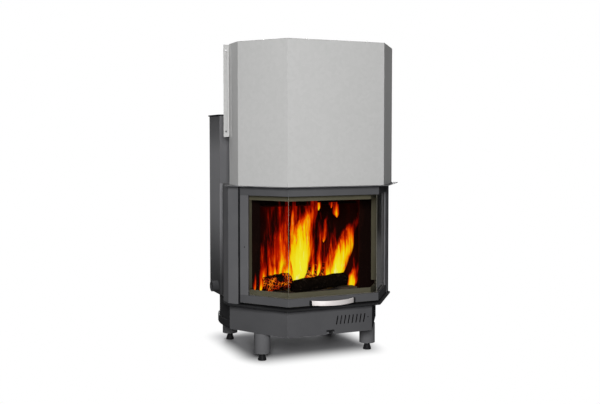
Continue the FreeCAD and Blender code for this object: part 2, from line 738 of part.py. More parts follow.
def make_hood():
    """Bent front sheet, back sheet, cover, screws and the two wall brackets."""
    shell = new_body("hood_shell")
    inner = hood_outline(v.hood_sheet)
    pad(shell, hood_foot, hood_top, [hood_outline(ZERO) + inner[::-1]])
    panel = new_body("hood_back")
    pad(panel, hood_foot, hood_top, [rectangle(-hood_half, hood_half, hood_back, hood_back + v.hood_sheet)])
    cover = new_body("hood_cover")
    outline = hood_outline(ZERO)
    rear = hood_back + v.hood_sheet
    cover_top = hood_top + v.hood_sheet
    pad(cover, hood_top, cover_top, [[(-hood_half, rear)] + outline[1:-1] + [(hood_half, rear)]])

    screws = new_body("hood_screws")
    front_row = bay.front + v.cover_lap
    reach_share = 0.62
    reach = reach_share * v.hood_front_half
    heads = [((x, front_row), v.screw_radius) for x in (-reach, ZERO, reach)]
    for _, side in SIDES:
        heads.append((bay.along(bay.side / 2, v.cover_lap, side), v.screw_radius))
        heads.append(((side * reach_share * hood_half, hood_back - v.cover_lap), v.screw_radius))
    pad(screws, cover_top, cover_top + v.screw_head, circles=heads)

    top = hood_top - v.bracket_drop
    bottom = top - v.bracket_length
    brackets = new_body("wall_brackets")
    outlines = []
    holes = []
    for _, side in SIDES:
        on_hood = side * hood_half
        leg_face = side * (hood_half + v.bracket_sheet)
        edge = side * (hood_half + v.bracket_flange)
        outlines.append([
            (on_hood, hood_back - v.bracket_leg), (leg_face, hood_back - v.bracket_leg),
            (leg_face, hood_back), (edge, hood_back), (edge, rear), (on_hood, rear)])
        hole_x = edge - side * v.bracket_hole_edge
        holes += [((hole_x, top - v.bracket_hole_end), v.bracket_hole),
                  ((hole_x, bottom + v.bracket_hole_end), v.bracket_hole)]
    pad(brackets, bottom, top, outlines)
    cut_back(brackets, hood_back - v.overrun, rear + v.overrun, circles=holes)


def make_door():
    """Prismatic frame with three panes of glass, gasket, handle, guide shoes and cable lugs."""
    face = v.door_inset
    lip_back = face + v.lip_thick
    rear = face + v.door_depth
    block = v.rail_tall - v.lip_lap
    bottom_rail = new_body("door_bottom_rail")
    pad(bottom_rail, door_foot, door_foot + v.rail_tall, [bay.band(face, lip_back, door_end)])
    pad(bottom_rail, door_foot, door_foot + block, [bay.band(lip_back, rear, door_end)])
    top_rail = new_body("door_top_rail")
    pad(top_rail, door_top - v.rail_tall, door_top, [bay.band(face, lip_back, door_end)])
    pad(top_rail, door_top - block, door_top, [bay.band(lip_back, rear, door_end)])
    lip_start = door_end - v.stile_wide
    block_start = lip_start + v.lip_lap
    stiles = new_body("door_stiles")
    pad(stiles, door_foot + v.rail_tall, door_top - v.rail_tall,
        [bay.patch(lip_start, door_end, face, lip_back, side) for _, side in SIDES])
    pad(stiles, door_foot + block, door_top - block,
        [bay.patch(block_start, door_end, lip_back, rear, side) for _, side in SIDES])

    glass_front = lip_back + v.glass_back
    glass_rear = glass_front + v.glass_thick
    glass_foot = door_foot + block + v.glass_edge_gap
    glass_top = door_top - block - v.glass_edge_gap
    half_joint = v.glass_joint / 2
    pane = new_body("glass_front")
    left_front = bay.corner(glass_front, -1)
    left_rear = bay.corner(glass_rear, -1)
    pad(pane, glass_foot, glass_top, [[
        (left_front[0] + half_joint, left_front[1]), (-left_front[0] - half_joint, left_front[1]),
        (-left_rear[0] - half_joint, left_rear[1]), (left_rear[0] + half_joint, left_rear[1])]])
    mitre = (bay.side - bay.run) / bay.depth
    pane_end = block_start - v.glass_edge_gap
    side_panes = new_body("glass_sides")
    pad(side_panes, glass_foot, glass_top, [
        [bay.along(glass_front * mitre + half_joint, glass_front, side),
         bay.along(pane_end, glass_front, side), bay.along(pane_end, glass_rear, side),
         bay.along(glass_rear * mitre + half_joint, glass_rear, side)]
        for _, side in SIDES])

    tape = new_body("glass_tape")
    pad(tape, glass_foot, door_foot + v.rail_tall, [bay.band(lip_back, glass_front, pane_end)])
    pad(tape, door_top - v.rail_tall, glass_top, [bay.band(lip_back, glass_front, pane_end)])
    strips = new_body("glass_retainers")
    strip_rear = glass_rear + v.retainer_thick
    pad(strips, door_foot + block, door_foot + v.rail_tall, [bay.band(glass_rear, strip_rear, block_start)])
    pad(strips, door_top - v.rail_tall, door_top - block, [bay.band(glass_rear, strip_rear, block_start)])

    gasket = new_body("door_gasket")
    rope_rear = rear + v.gasket_thick
    rope_end = door_end - v.gasket_in
    rope_foot = door_foot + v.gasket_in
    rope_top = door_top - v.gasket_in
    pad(gasket, rope_foot, rope_foot + v.gasket_wide, [bay.band(rear, rope_rear, rope_end)])
    pad(gasket, rope_top - v.gasket_wide, rope_top, [bay.band(rear, rope_rear, rope_end)])
    pad(gasket, rope_foot + v.gasket_wide, rope_top - v.gasket_wide,
        [bay.patch(rope_end - v.gasket_wide, rope_end, rear, rope_rear, side) for _, side in SIDES])

    shoes = new_body("guide_shoes")
    shoe_rear = v.shoe_inset + v.shoe_thick
    shoe_outline = [bay.patch(door_end, door_end + v.shoe_reach, v.shoe_inset, shoe_rear, side)
                    for _, side in SIDES]
    for low in (door_foot + v.shoe_end, door_top - v.shoe_end - v.shoe_tall):
        pad(shoes, low, low + v.shoe_tall, shoe_outline)
    lugs = new_body("cable_lugs")
    pad(lugs, door_top, door_top + v.lug_tall,
        [bay.patch(cable_place - v.lug_half, cable_place + v.lug_half, v.cable_inset - v.lug_half,
                   v.cable_inset + v.lug_half, side) for _, side in SIDES])


def make_handle():
    """A flat bar bowed out from the door, between two end blocks."""
    door_y = bay.front + v.door_inset
    low = door_foot + v.handle_rise
    end_y = door_y - v.handle_stand
    inner = (v.handle_half * v.handle_half + v.handle_bow * v.handle_bow) / (2 * v.handle_bow)
    centre_y = end_y - v.handle_bow + inner
    middle = -v.handle_left
    outside = cylinder("bow_outside", inner + v.handle_thick, v.handle_tall, middle, centre_y, low)
    inside = cylinder("bow_inside", inner, v.handle_tall, middle, centre_y, low)
    bow = boolean("Part::Cut", "bow", outside, inside)
    limit = doc.addObject("Part::Box", "bow_limit")
    limit.setExpression("Length", (2 * v.handle_half).text)
    limit.setExpression("Width", (2 * v.handle_bow).text)
    limit.setExpression("Height", v.handle_tall.text)
    place(limit, middle - v.handle_half, end_y - 2 * v.handle_bow, low)
    pieces.append(boolean("Part::Common", "handle_bar", bow, limit))
    blocks = new_body("handle_blocks")
    outer = v.handle_half + v.handle_block
    front = door_y - v.handle_block_deep
    pad(blocks, low, low + v.handle_tall, [
        rectangle(middle + v.handle_half, middle + outer, front, door_y),
        rectangle(middle - outer, middle - v.handle_half, front, door_y)])


def make_lifting_gear():
    """Guide rails, pulleys on bracketed axles, wire ropes and one counterweight bar."""
    rails = new_body("guide_rails")
    end = rail_start + v.rail_wide
    far = v.rail_inset + v.rail_deep
    loops = []
    for _, side in SIDES:
        loops.append([
            bay.along(rail_start, v.rail_inset, side), bay.along(end, v.rail_inset, side),
            bay.along(end, far, side), bay.along(rail_start, far, side),
            bay.along(rail_start, far - v.rail_sheet, side),
            bay.along(end - v.rail_sheet, far - v.rail_sheet, side),
            bay.along(end - v.rail_sheet, v.rail_inset + v.rail_sheet, side),
            bay.along(rail_start, v.rail_inset + v.rail_sheet, side)])
    pad(rails, hearth_top, hearth_top + v.rail_length, loops)

    rope_x, rope_y = bay.along(cable_place, v.cable_inset, 1)
    pulley_y = rope_y + v.pulley_radius
    weight_y = rope_y + 2 * v.pulley_radius
    weight_half = rope_x + v.weight_past
    weight_top = pulley_z - v.pulley_radius - v.weight_hang
    weight = new_body("counterweight")
    pad(weight, weight_top - v.weight_tall, weight_top, [
        rectangle(-weight_half, weight_half, weight_y - v.weight_deep / 2, weight_y + v.weight_deep / 2)])

    brackets = []
    ropes = []
    groove = v.pulley_radius - v.cable_radius - v.seat_gap
    groove_half = v.pulley_half_wide / 2
    plate_x = rope_x + v.pulley_half_wide + v.seat_gap
    lug_top = door_top + v.lug_tall
    for name, side in SIDES:
        turn = TO_RIGHT if side > 0 else TO_LEFT
        pulley = new_body(f"pulley_{name}")
        bore = v.axle_radius + v.running_gap
        turned(pulley, [(bore, -v.pulley_half_wide), (v.pulley_flange, -v.pulley_half_wide),
                        (groove, -groove_half), (groove, groove_half), (v.pulley_flange, v.pulley_half_wide),
                        (bore, v.pulley_half_wide)])
        place(pulley, side * rope_x, pulley_y, pulley_z, turn)

        plate = doc.addObject("Part::Box", "bracket_plate")
        plate.setExpression("Length", v.axle_bracket_thick.text)
        plate.setExpression("Width", (hood_back - pulley_y + v.axle_bracket_half).text)
        plate.setExpression("Height", (2 * v.axle_bracket_half).text)
        plate_left = plate_x if side > 0 else -plate_x - v.axle_bracket_thick
        place(plate, plate_left, pulley_y - v.axle_bracket_half, pulley_z - v.axle_bracket_half)
        axle = cylinder("bracket_axle", v.axle_radius, 2 * v.pulley_half_wide + 2 * v.axle_bracket_thick,
                        side * (rope_x - v.pulley_half_wide - v.axle_bracket_thick), pulley_y, pulley_z, turn)
        brackets.append(boolean("Part::Fuse", "bracket_with_axle", plate, axle))

        rising = cylinder("rope_door_run", v.cable_radius, pulley_z - lug_top, side * rope_x, rope_y, lug_top)
        falling = cylinder("rope_weight_run", v.cable_radius, pulley_z - weight_top, side * rope_x, weight_y,
                           weight_top)
        bend = doc.addObject("Part::Torus", "rope_bend")
        bend.setExpression("Radius1", v.pulley_radius.text)
        bend.setExpression("Radius2", v.cable_radius.text)
        bend.Angle3 = 180
        place(bend, side * rope_x, pulley_y, pulley_z, FreeCAD.Rotation(FreeCAD.Vector(1, 1, 1), 120))
        rope = doc.addObject("Part::MultiFuse", "rope")
        rope.Shapes = [rising, bend, falling]
        ropes.append(rope)
    group("pulley_brackets", brackets)
    group("lift_cables", ropes)


def make_exchanger():
    """Upper boiler: two tube plates, smoke tubes, a round back wall and a flat front wall."""
    front = axis_y + v.drum_wall
    wall_inside = v.drum_radius - v.drum_wall
    upper_foot = lower_plate_top + v.exchanger_height
    places = [(i * v.tube_pitch, back(v.tube_row)) for i in range(-2, 3)]
    holes = [(spot, v.tube_radius) for spot in places]
    reach = v.drum_radius + v.overrun
    upper_plate_top = upper_foot + v.plate_thick
    plates = new_body("tube_plates")
    pad(plates, ceiling_foot, lower_plate_top, circles=[(AXIS, v.drum_radius)])
    pad(plates, upper_foot, upper_plate_top, circles=[(AXIS, wall_inside)])
    for foot, top, edge in ((ceiling_foot, lower_plate_top, axis_y), (upper_foot, upper_plate_top, front)):
        ahead = rectangle(-reach, reach, axis_y - reach, edge)
        cut_down(plates, top + v.overrun, foot - v.overrun, [ahead])
    cut_down(plates, upper_plate_top + v.overrun, ceiling_foot - v.overrun, circles=holes)
    tubes = new_body("smoke_tubes")
    bores = [(spot, v.tube_radius - v.tube_wall) for spot in places]
    pad(tubes, ceiling_foot, upper_foot + v.plate_thick + v.tube_stand, circles=holes + bores)

    shell = drum_ring("upper_shell", v.drum_radius, v.drum_wall, lower_plate_top, upper_top, front)
    wall = new_body("upper_front_wall")
    pad(wall, lower_plate_top, upper_top, [rectangle(-v.drum_radius, v.drum_radius, axis_y, front)])

    baffle = new_body("smoke_baffle")
    baffle_half = fire_radius - v.baffle_side_gap
    baffle_rear = chord_half(baffle_half) - v.baffle_clear
    baffle_top = ceiling_foot - v.baffle_drop
    baffle_foot = baffle_top - v.baffle_thick
    pad(baffle, baffle_foot, baffle_top,
        [rectangle(-baffle_half, baffle_half, back(-v.baffle_front), back(baffle_rear))])
    bars = []
    for sign, offset in ((-1, v.baffle_front - v.bar_inset), (1, baffle_rear - v.bar_inset)):
        half = chord_half(offset + v.bar_radius) - v.seat_gap
        bars.append(cylinder("baffle_bar", v.bar_radius, 2 * half, -half, back(sign * offset),
                             baffle_foot - v.bar_radius, TO_RIGHT))
    group("baffle_bars", bars)
    return shell


def casing_corners(half, flat):
    """The five flats of the casing, from the right front corner round the back to the left."""
    return [(half, axis_y), (half, back(flat)), (flat, back(half)), (-flat, back(half)), (-half, back(flat)),
            (-half, axis_y)]


def make_casing(upper_shell, lower_shell):
    """Insulation, the folded casing, its front panel, the lid, the flue collar and the water sockets."""
    wool = drum_ring("insulation", v.drum_radius + v.wool_gap + v.wool_thick, v.wool_thick,
                     casing_foot, upper_top, axis_y + v.casing_sheet)
    inside = casing_half - v.casing_sheet
    flat_inside = casing_flat - v.casing_sheet * (root(as_size(2)) - 1)
    outer = casing_corners(casing_half, casing_flat)
    inner = casing_corners(inside, flat_inside)
    turn_in = v.drum_radius + v.wool_gap
    face = axis_y + v.casing_sheet
    casing = new_body("casing")
    pad(casing, casing_foot, upper_top, [
        [(turn_in, axis_y)] + outer + [(-turn_in, axis_y), (-turn_in, face), (-inside, face)]
        + inner[1:-1][::-1] + [(inside, face), (turn_in, face)]])
    panel = new_body("casing_front")
    pad(panel, hood_foot, upper_top,
        [rectangle(-casing_half, casing_half, axis_y - v.casing_sheet, axis_y)])

    lid = new_body("boiler_lid")
    lid_top = upper_top + v.lid_thick
    lid_flat = casing_flat + v.lid_lap * (root(as_size(2)) - 1)
    lid_outline = casing_corners(casing_half + v.lid_lap, lid_flat)
    lid_front = axis_y - v.casing_sheet - v.lid_lap
    lid_outline[0] = (casing_half + v.lid_lap, lid_front)
    lid_outline[-1] = (-casing_half - v.lid_lap, lid_front)
    pad(lid, upper_top, lid_top, [lid_outline])
    flue = (ZERO, back(v.flue_back))
    cut_down(lid, lid_top + v.overrun, upper_top - v.overrun, circles=[(flue, v.flue_radius - v.flue_wall)])
    collar = new_body("flue_collar")
    pad(collar, lid_top, lid_top + v.flue_height,
        circles=[(flue, v.flue_radius + v.flue_wall), (flue, v.flue_radius)])

    def socket_start(offset, radius):
        """How far from the axis a socket set off to one side first meets the drum."""
        near = offset - radius
        return root(v.drum_radius * v.drum_radius - near * near)

    sockets = []
    return_y = back(v.return_back)
    mouth = casing_half + v.socket_length
    start = socket_start(v.return_back, v.socket_radius)
    for _, side in SIDES:
        turn = TO_RIGHT if side > 0 else TO_LEFT
        boss = cylinder("return_boss", v.socket_radius, mouth - start, side * start, return_y,
                        return_height, turn)
        bore = cylinder("return_bore", v.socket_bore, mouth, ZERO, return_y, return_height, turn)
        sockets.append(boolean("Part::Cut", "return_socket", boss, bore))
    flow_start = socket_start(v.flow_half, v.socket_radius)
    rear_places = ((-v.flow_half, flow_height, v.socket_radius, v.socket_bore, flow_start),
                   (v.flow_half, flow_height, v.socket_radius, v.socket_bore, flow_start),
                   (ZERO, flow_height, v.small_radius, v.small_bore, v.drum_radius),
                   (ZERO, return_height, v.small_radius, v.small_bore, v.drum_radius))
    for x, height, radius, bore_radius, begin in rear_places:
        boss = cylinder("rear_boss", radius, mouth - begin, x, back(begin), height, TO_BACK)
        bore = cylinder("rear_bore", bore_radius, mouth, x, axis_y, height, TO_BACK)
        sockets.append(boolean("Part::Cut", "rear_socket", boss, bore))
    group("water_sockets", sockets)

    middle = axis_y + v.drum_radius / 2
    rear_reach = back(casing_half + v.overrun)
    for wall in (casing, wool):
        cut(wall, "YZ_Plane", ZERO, None, circles=[
            ((return_y, return_height), v.socket_radius + v.seat_gap)])
        cut_back(wall, middle, rear_reach, circles=[
            ((x, height), radius + v.seat_gap) for x, height, radius, _, _ in rear_places])
    cut(lower_shell, "YZ_Plane", ZERO, None, circles=[
        ((return_y, return_height), v.socket_bore + v.socket_step)])
    bores = [((x, height), bore_radius + v.socket_step) for x, height, _, bore_radius, _ in rear_places]
    cut_back(lower_shell, middle, rear_reach, circles=bores[3:])
    cut_back(upper_shell, middle, rear_reach, circles=bores[:3])


def write_pieces():
    """Check every object and every sub-part, then write each sub-part to its own file."""
    doc.recompute()
    for item in doc.Objects:
        if {"Invalid", "Error"} & set(item.State):
            raise RuntimeError(f"{item.Label} did not compute: {item.State}")
    for piece in pieces:
        if piece.Shape.isNull() or not piece.Shape.isValid() or not piece.Shape.Solids:
            raise RuntimeError(f"{piece.Label} has no valid solid")
    os.makedirs("parts", exist_ok=True)
    for piece in pieces:
        piece.Shape.exportStep(f"parts/{piece.Label}.step")
        box = piece.Shape.BoundBox
        print(f"{piece.Label:18s} {len(piece.Shape.Solids):2d}  x {box.XMin:7.1f} {box.XMax:7.1f}"
              f"  y {box.YMin:7.1f} {box.YMax:7.1f}  z {box.ZMin:7.1f} {box.ZMax:7.1f}")
    print(len(pieces), "sub-parts")


make_legs_and_feet()
make_base()
make_plinth()
make_hearth()
lower_shell = make_firebox()
make_front_frame()
make_hood()
make_door()
make_handle()
make_lifting_gear()
upper_shell = make_exchanger()
make_casing(upper_shell, lower_shell)
write_pieces()
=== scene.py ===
import json
import math

import bpy
import numpy as np
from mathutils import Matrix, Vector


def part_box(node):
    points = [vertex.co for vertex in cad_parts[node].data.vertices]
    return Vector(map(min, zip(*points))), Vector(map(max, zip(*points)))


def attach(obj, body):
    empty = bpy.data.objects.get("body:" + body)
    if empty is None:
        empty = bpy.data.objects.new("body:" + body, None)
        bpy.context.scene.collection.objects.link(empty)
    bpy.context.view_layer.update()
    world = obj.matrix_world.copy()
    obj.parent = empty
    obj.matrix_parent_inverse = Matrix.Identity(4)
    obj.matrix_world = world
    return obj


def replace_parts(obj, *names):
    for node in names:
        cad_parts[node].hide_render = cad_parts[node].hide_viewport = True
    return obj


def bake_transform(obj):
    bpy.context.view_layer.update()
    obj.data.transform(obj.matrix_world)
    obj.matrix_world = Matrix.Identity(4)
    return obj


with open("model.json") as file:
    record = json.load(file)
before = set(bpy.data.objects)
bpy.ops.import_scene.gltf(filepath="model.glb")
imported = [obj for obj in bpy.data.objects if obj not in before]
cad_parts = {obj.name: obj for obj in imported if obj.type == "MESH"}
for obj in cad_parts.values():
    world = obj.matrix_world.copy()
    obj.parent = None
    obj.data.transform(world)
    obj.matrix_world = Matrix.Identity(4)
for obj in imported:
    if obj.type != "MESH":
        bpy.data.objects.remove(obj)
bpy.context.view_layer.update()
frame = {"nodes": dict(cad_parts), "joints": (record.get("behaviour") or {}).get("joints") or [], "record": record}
random = np.random.default_rng(7)

# Pairs of colours as linear red, green and blue, the two tones that a finish runs between
STOVE_GREY = (0.106, 0.106, 0.111), (0.128, 0.128, 0.133)
DOOR_GREY = (0.074, 0.074, 0.078), (0.088, 0.088, 0.092)
SEAL_OLIVE = (0.095, 0.092, 0.066), (0.120, 0.117, 0.086)
SOCKET_GREY = (0.034, 0.034, 0.036), (0.052, 0.052, 0.054)
# Black paint, which on the ash drum and hearth plate is painted shade
BLACK_AND_SHADE = (0.014, 0.014, 0.015), (0.022, 0.022, 0.023)
TRIM_BLACK = (0.009, 0.009, 0.010), (0.016, 0.016, 0.017)
HOOD_ZINC = (0.42, 0.42, 0.415), (0.495, 0.495, 0.490)
PLATED_ZINC = (0.46, 0.46, 0.45), (0.62, 0.62, 0.60)
ROPE_ZINC = (0.30, 0.30, 0.29), (0.50, 0.50, 0.49)
MILL_SCALE = (0.060, 0.062, 0.070), (0.110, 0.078, 0.055)
BARE_PLATE = (0.060, 0.060, 0.064), (0.085, 0.082, 0.080)
SOOT = (0.006, 0.0020, 0.0016), (0.016, 0.0040, 0.0025)
# Painted firelight on the plates that face the fire
FIRELIGHT_RED = (0.002, 0.0, 0.0), (0.020, 0.0006, 0.0)
NICKEL = (0.74, 0.69, 0.675), (0.84, 0.80, 0.785)
RUSTY_IRON = (0.028, 0.027, 0.027), (0.085, 0.045, 0.028)
BRICK_CLAY = (0.11, 0.075, 0.052), (0.18, 0.135, 0.10)
GLASS_BRAID = (0.06, 0.058, 0.052), (0.19, 0.18, 0.16)
BRONZE = (0.42, 0.26, 0.10), (0.62, 0.42, 0.18)
WOOL = (0.26, 0.20, 0.08), (0.58, 0.48, 0.24)
CLEAR_BEAD = (0.12, 0.115, 0.09), (0.26, 0.25, 0.21)
CHAR = (0.006, 0.004, 0.003), (0.040, 0.028, 0.022)
# The floor as other surfaces see it, and as the camera does, which sees this grey only in the painted shadow's
# footprint
FLOOR_GREY = (0.10, 0.10, 0.10), (0.31, 0.31, 0.32)

# Single colours
SCALE_FLAKE = (0.030, 0.030, 0.034)
GLASS_TINT = (0.93, 0.92, 0.90)
GLASS_GLARE = (0.75, 0.75, 0.75)
PALE_FLAME = (1.0, 0.97, 0.40)
BLACK = (0, 0, 0)
WHITE = (1, 1, 1)

# Colours of burning gas and of embers against heat, from 0 to 1
FLAME_STOPS = [
    (0.02, (0.26, 0.001, 0.0)), (0.26, (0.55, 0.010, 0.0)), (0.40, (0.90, 0.075, 0.0)),
    (0.52, (1.0, 0.30, 0.001)), (0.64, (1.0, 0.72, 0.001)), (1.0, (1.0, 0.93, 0.030)),
]
EMBER_STOPS = [(0.25, BLACK), (0.60, (0.48, 0.022, 0.0)), (1.0, (1.0, 0.27, 0.004))]

# Where the fire burns, the foot of the lintel above it, and half the width of the liner round it
FIRE_MIDDLE = (0.0, 0.05, 0.54)
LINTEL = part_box("lintel_rim")[0][2]
LINER_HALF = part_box("firebox_liner")[1][0]
# Heights between which a plate passes the lintel, and half widths between which it passes the liner
PAST_LINTEL = (LINTEL - 0.012, LINTEL - 0.006)
PAST_LINER = (LINER_HALF + 0.002, LINER_HALF + 0.012)
# The casing's paint at its foot and at its palest, as shares of the stove grey; the darker share is painted shade
CASING_SHARES = (0.30, 1.50)
CASING_SHADE_GREYS = tuple(tuple(share * part for part in STOVE_GREY[1]) for share in CASING_SHARES)
# Heights between which the painted shade lifts and the paint grows paler, those between which painted shade
# darkens it again under the lid, and by how much
CASING_RISE = (0.30, 0.74)
CASING_FALL = (0.94, 1.09)
CASING_LOSS = 0.65
# Sheen of stove paint, which has none where it is quite matt
SHEEN = 0.03
MATT = 0.0


class Wire:
    """One socket on a board, with the arithmetic that turns an expression into Math nodes."""

    def __init__(self, board, socket):
        self.board = board
        self.socket = socket

    def calculate(self, operation, *terms):
        """A Math node of the terms, in order."""
        return self.board.node("ShaderNodeMath", {"operation": operation}, dict(enumerate(terms)))

    def __add__(self, other):
        return self.calculate("ADD", self, other)

    __radd__ = __add__

    def __mul__(self, other):
        return self.calculate("MULTIPLY", self, other)

    __rmul__ = __mul__

    def __sub__(self, other):
        return self.calculate("SUBTRACT", self, other)

    def __rsub__(self, other):
        return self.calculate("SUBTRACT", other, self)

    def __truediv__(self, other):
        return self.calculate("DIVIDE", self, other)

    def __pow__(self, other):
        return self.calculate("POWER", self, other)

    def __abs__(self):
        return self.calculate("ABSOLUTE", self)

    def at_least(self, other):
        """The larger of the two."""
        return self.calculate("MAXIMUM", self, other)

    def within(self, low, high):
        """0 below low, 1 above high and a smooth rise between them."""
        return self.board.node("ShaderNodeMapRange", {"interpolation_type": "SMOOTHSTEP"},
                               {"Value": self, "From Min": low, "From Max": high})


class Board:
    """The nodes of a material or of the world, and the ways to add to them."""

    def __init__(self, tree):
        self.nodes = tree.nodes
        self.links = tree.links

    def put(self, socket, value):
        """Link a Wire to a socket, or set the socket's own value."""
        if isinstance(value, Wire):
            self.links.new(value.socket, socket)
        elif isinstance(value, (tuple, list)) and len(value) == 3 and len(socket.default_value) == 4:
            socket.default_value = (*value, 1)
        else:
            socket.default_value = value

    def node(self, kind, settings=None, inputs=None, output=0):
        """Any node: its type, its settings, the values or links of its sockets, and the output to take."""
        made = self.nodes.new(kind)
        for name, value in (settings or {}).items():
            if name == "stops":
                ramp = made.color_ramp.elements
                while len(ramp) < len(value):
                    ramp.new(0.5)
                for element, (place, colour) in zip(ramp, value):
                    element.position = place
                    element.color = (*colour, 1)
            else:
                setattr(made, name, value)
        for name, value in (inputs or {}).items():
            self.put(made.inputs[name], value)
        return Wire(self, made.outputs[output])

    def place(self, stretch=(1, 1, 1)):
        """Object coordinates, stretched."""
        here = self.node("ShaderNodeTexCoord", output="Object")
        return self.node("ShaderNodeMapping", {}, {"Vector": here, "Scale": stretch})

    def part(self, vector, axis):
        """One of the three parts of a vector."""
        return self.node("ShaderNodeSeparateXYZ", {}, {0: vector}, axis)

    def grain(self, scale, detail=3, roughness=0.55, stretch=(1, 1, 1)):
        """Fractal noise from 0 to 1."""
        return self.node("ShaderNodeTexNoise", {}, {"Vector": self.place(stretch), "Scale": scale,
                                                    "Detail": detail, "Roughness": roughness}, "Fac")

    def cells(self, scale, output="Distance", where=None, feature="F1"):
        """Voronoi cells."""
        where = where or self.place()
        return self.node("ShaderNodeTexVoronoi", {"feature": feature},
                         {"Vector": where, "Scale": scale}, output)

    def blend(self, share, first, second):
        """A mix of two colours. The colour sockets of a Mix node are its inputs 6 and 7 and its output 2."""
        return self.node("ShaderNodeMix", {"data_type": "RGBA"}, {"Factor": share, 6: first, 7: second}, 2)

    def bump(self, height, depth, strength):
        """A Bump node on a height from 0 to 1, with its depth in metres."""
        return self.node("ShaderNodeBump", {},
                         {"Height": height, "Distance": depth, "Strength": strength}, "Normal")


class Finish(Board):
    """A procedural material: one Principled shader and the nodes that feed it."""

    def __init__(self, name, **constants):
        self.material = bpy.data.materials.new(name)
        self.material.use_nodes = True
        super().__init__(self.material.node_tree)
        self.shader = self.nodes["Principled BSDF"]
        self.feed(**constants)

    def feed(self, **values):
        """Set or link the Principled shader's sockets, where an underscore stands for a space."""
        for socket, value in values.items():
            self.put(self.shader.inputs[socket.replace("_", " ")], value)
        return self

    def show(self, share, first, second):
        """Show a mix of two shaders in place of the Principled one."""
        mixed = self.node("ShaderNodeMixShader", {}, {0: share, 1: first, 2: second})
        self.put(self.nodes["Material Output"].inputs["Surface"], mixed)
        return self


def sprayed(name, sheen):
    """The start of a coat of stove paint: its finish, its soft clouds and its sprayed grain."""
    paint = Finish(name, Specular_IOR_Level=sheen)
    return paint, paint.grain(scale=6, detail=4), paint.grain(scale=1400, detail=2)


def dried(paint, colour, roughness, cloud, spray):
    """The end of a coat of stove paint: its colour, and the gloss and bump that follow its clouds and grain."""
    return paint.feed(Base_Color=colour, Roughness=roughness + cloud * 0.10 - spray * 0.06,
                      Normal=paint.bump(spray, depth=0.00012, strength=0.5)).material


def stove_paint(name, tones, roughness, sheen=SHEEN):
    """Matt heat-proof paint: a sprayed grain and soft cloudiness."""
    paint, cloud, spray = sprayed(name, sheen)
    colour = paint.blend(cloud.within(0.3, 0.7) * 0.7 + spray * 0.3, *tones)
    return dried(paint, colour, roughness, cloud, spray)


def casing_paint(name):
    """Matt paint with painted shade: palest at the casing's middle, darker under its lid and dark at its foot."""
    paint, cloud, spray = sprayed(name, SHEEN)
    height = paint.part(paint.place(), "Z")
    # Painted shade: the colour darkens towards the foot and under the lid
    share = height.within(*CASING_RISE) * (1 - CASING_LOSS * height.within(*CASING_FALL))
    colour = paint.blend(share + cloud * 0.10 - 0.05, *CASING_SHADE_GREYS)
    return dried(paint, colour, 0.50, cloud, spray)


def galvanised_sheet(name):
    """Zinc-coated sheet: faint crystal spangle, drawn lines and a dull bloom."""
    sheet = Finish(name, Metallic=0.02, Specular_IOR_Level=0.02)
    spangle = sheet.node("ShaderNodeSeparateColor", {}, {"Color": sheet.cells(70, "Color")}, "Red")
    bloom = sheet.grain(scale=3.5, detail=5)
    drawn = sheet.grain(scale=5, detail=3, roughness=0.6, stretch=(60, 60, 1))
    colour = sheet.blend(spangle * 0.25 + bloom * 0.5 + drawn * 0.25, *HOOD_ZINC)
    return sheet.feed(Base_Color=colour, Roughness=0.42 + bloom * 0.12 + spangle * 0.05,
                      Normal=sheet.bump(drawn, depth=0.00005, strength=0.3)).material


def bright_zinc(name, tones):
    """Plated steel with fine turning lines and handling marks."""
    plate = Finish(name, Metallic=0.9)
    marks = plate.grain(scale=45, detail=5)
    lines = plate.grain(scale=20, detail=2, roughness=0.5, stretch=(4, 4, 60))
    return plate.feed(Base_Color=plate.blend(marks, *tones), Roughness=0.26 + marks * 0.18,
                      Normal=plate.bump(lines, depth=0.00004, strength=0.4)).material


def boiler_plate(name):
    """Hot-rolled plate: blue-black mill scale, brown bloom and dark flakes."""
    plate = Finish(name, Metallic=0.25)
    bloom = plate.grain(scale=9, detail=6, roughness=0.6)
    flake = plate.grain(scale=60, detail=4)
    base = plate.blend(bloom.within(0.45, 0.75), *MILL_SCALE)
    colour = plate.blend(flake.within(0.55, 0.8) * 0.5, base, SCALE_FLAKE)
    return plate.feed(Base_Color=colour, Roughness=0.5 + flake * 0.25,
                      Normal=plate.bump(flake, depth=0.0003, strength=0.4)).material


def sooted_plate(name):
    """Plate with soot and painted firelight, a dull red glow where it faces the fire, brown where the flames lick
    it clean.

    A face looks at the fire where its normal points back towards FIRE_MIDDLE, inside the liner. The rest is
    bare plate above the lintel and behind the liner, and soot elsewhere.
    """
    plate = Finish(name, Specular_IOR_Level=0.05, Emission_Strength=1.0)
    here = plate.place()
    lick = plate.grain(scale=7, detail=5, roughness=0.6, stretch=(1, 1, 0.35))
    flake = plate.grain(scale=180, detail=3)
    outward = plate.node("ShaderNodeVectorMath", {"operation": "SUBTRACT"},
                         {0: here, 1: FIRE_MIDDLE}, "Vector")
    normal = plate.node("ShaderNodeNewGeometry", output="True Normal")
    turned_away = plate.node("ShaderNodeVectorMath", {"operation": "DOT_PRODUCT"},
                             {0: normal, 1: outward}, "Value")
    turned_in = 1 - turned_away.within(-0.01, 0.01)
    outside = abs(plate.part(here, "X")).within(*PAST_LINER)
    to_fire = turned_in * (1 - outside)
    above = (1 - to_fire) * plate.part(here, "Z").within(*PAST_LINTEL)
    bare = above.at_least(turned_in * outside)
    soot = plate.blend(lick.within(0.52, 0.75), *SOOT)
    colour = plate.blend(bare, soot, plate.blend(flake, *BARE_PLATE))
    # Painted firelight: a red glow on the faces that look at the fire
    glow = plate.blend(to_fire, BLACK, plate.blend(lick.within(0.35, 0.75), *FIRELIGHT_RED))
    return plate.feed(Base_Color=colour, Roughness=0.8 + flake * 0.2, Emission_Color=glow,
                      Normal=plate.bump(flake, depth=0.0006, strength=0.5)).material


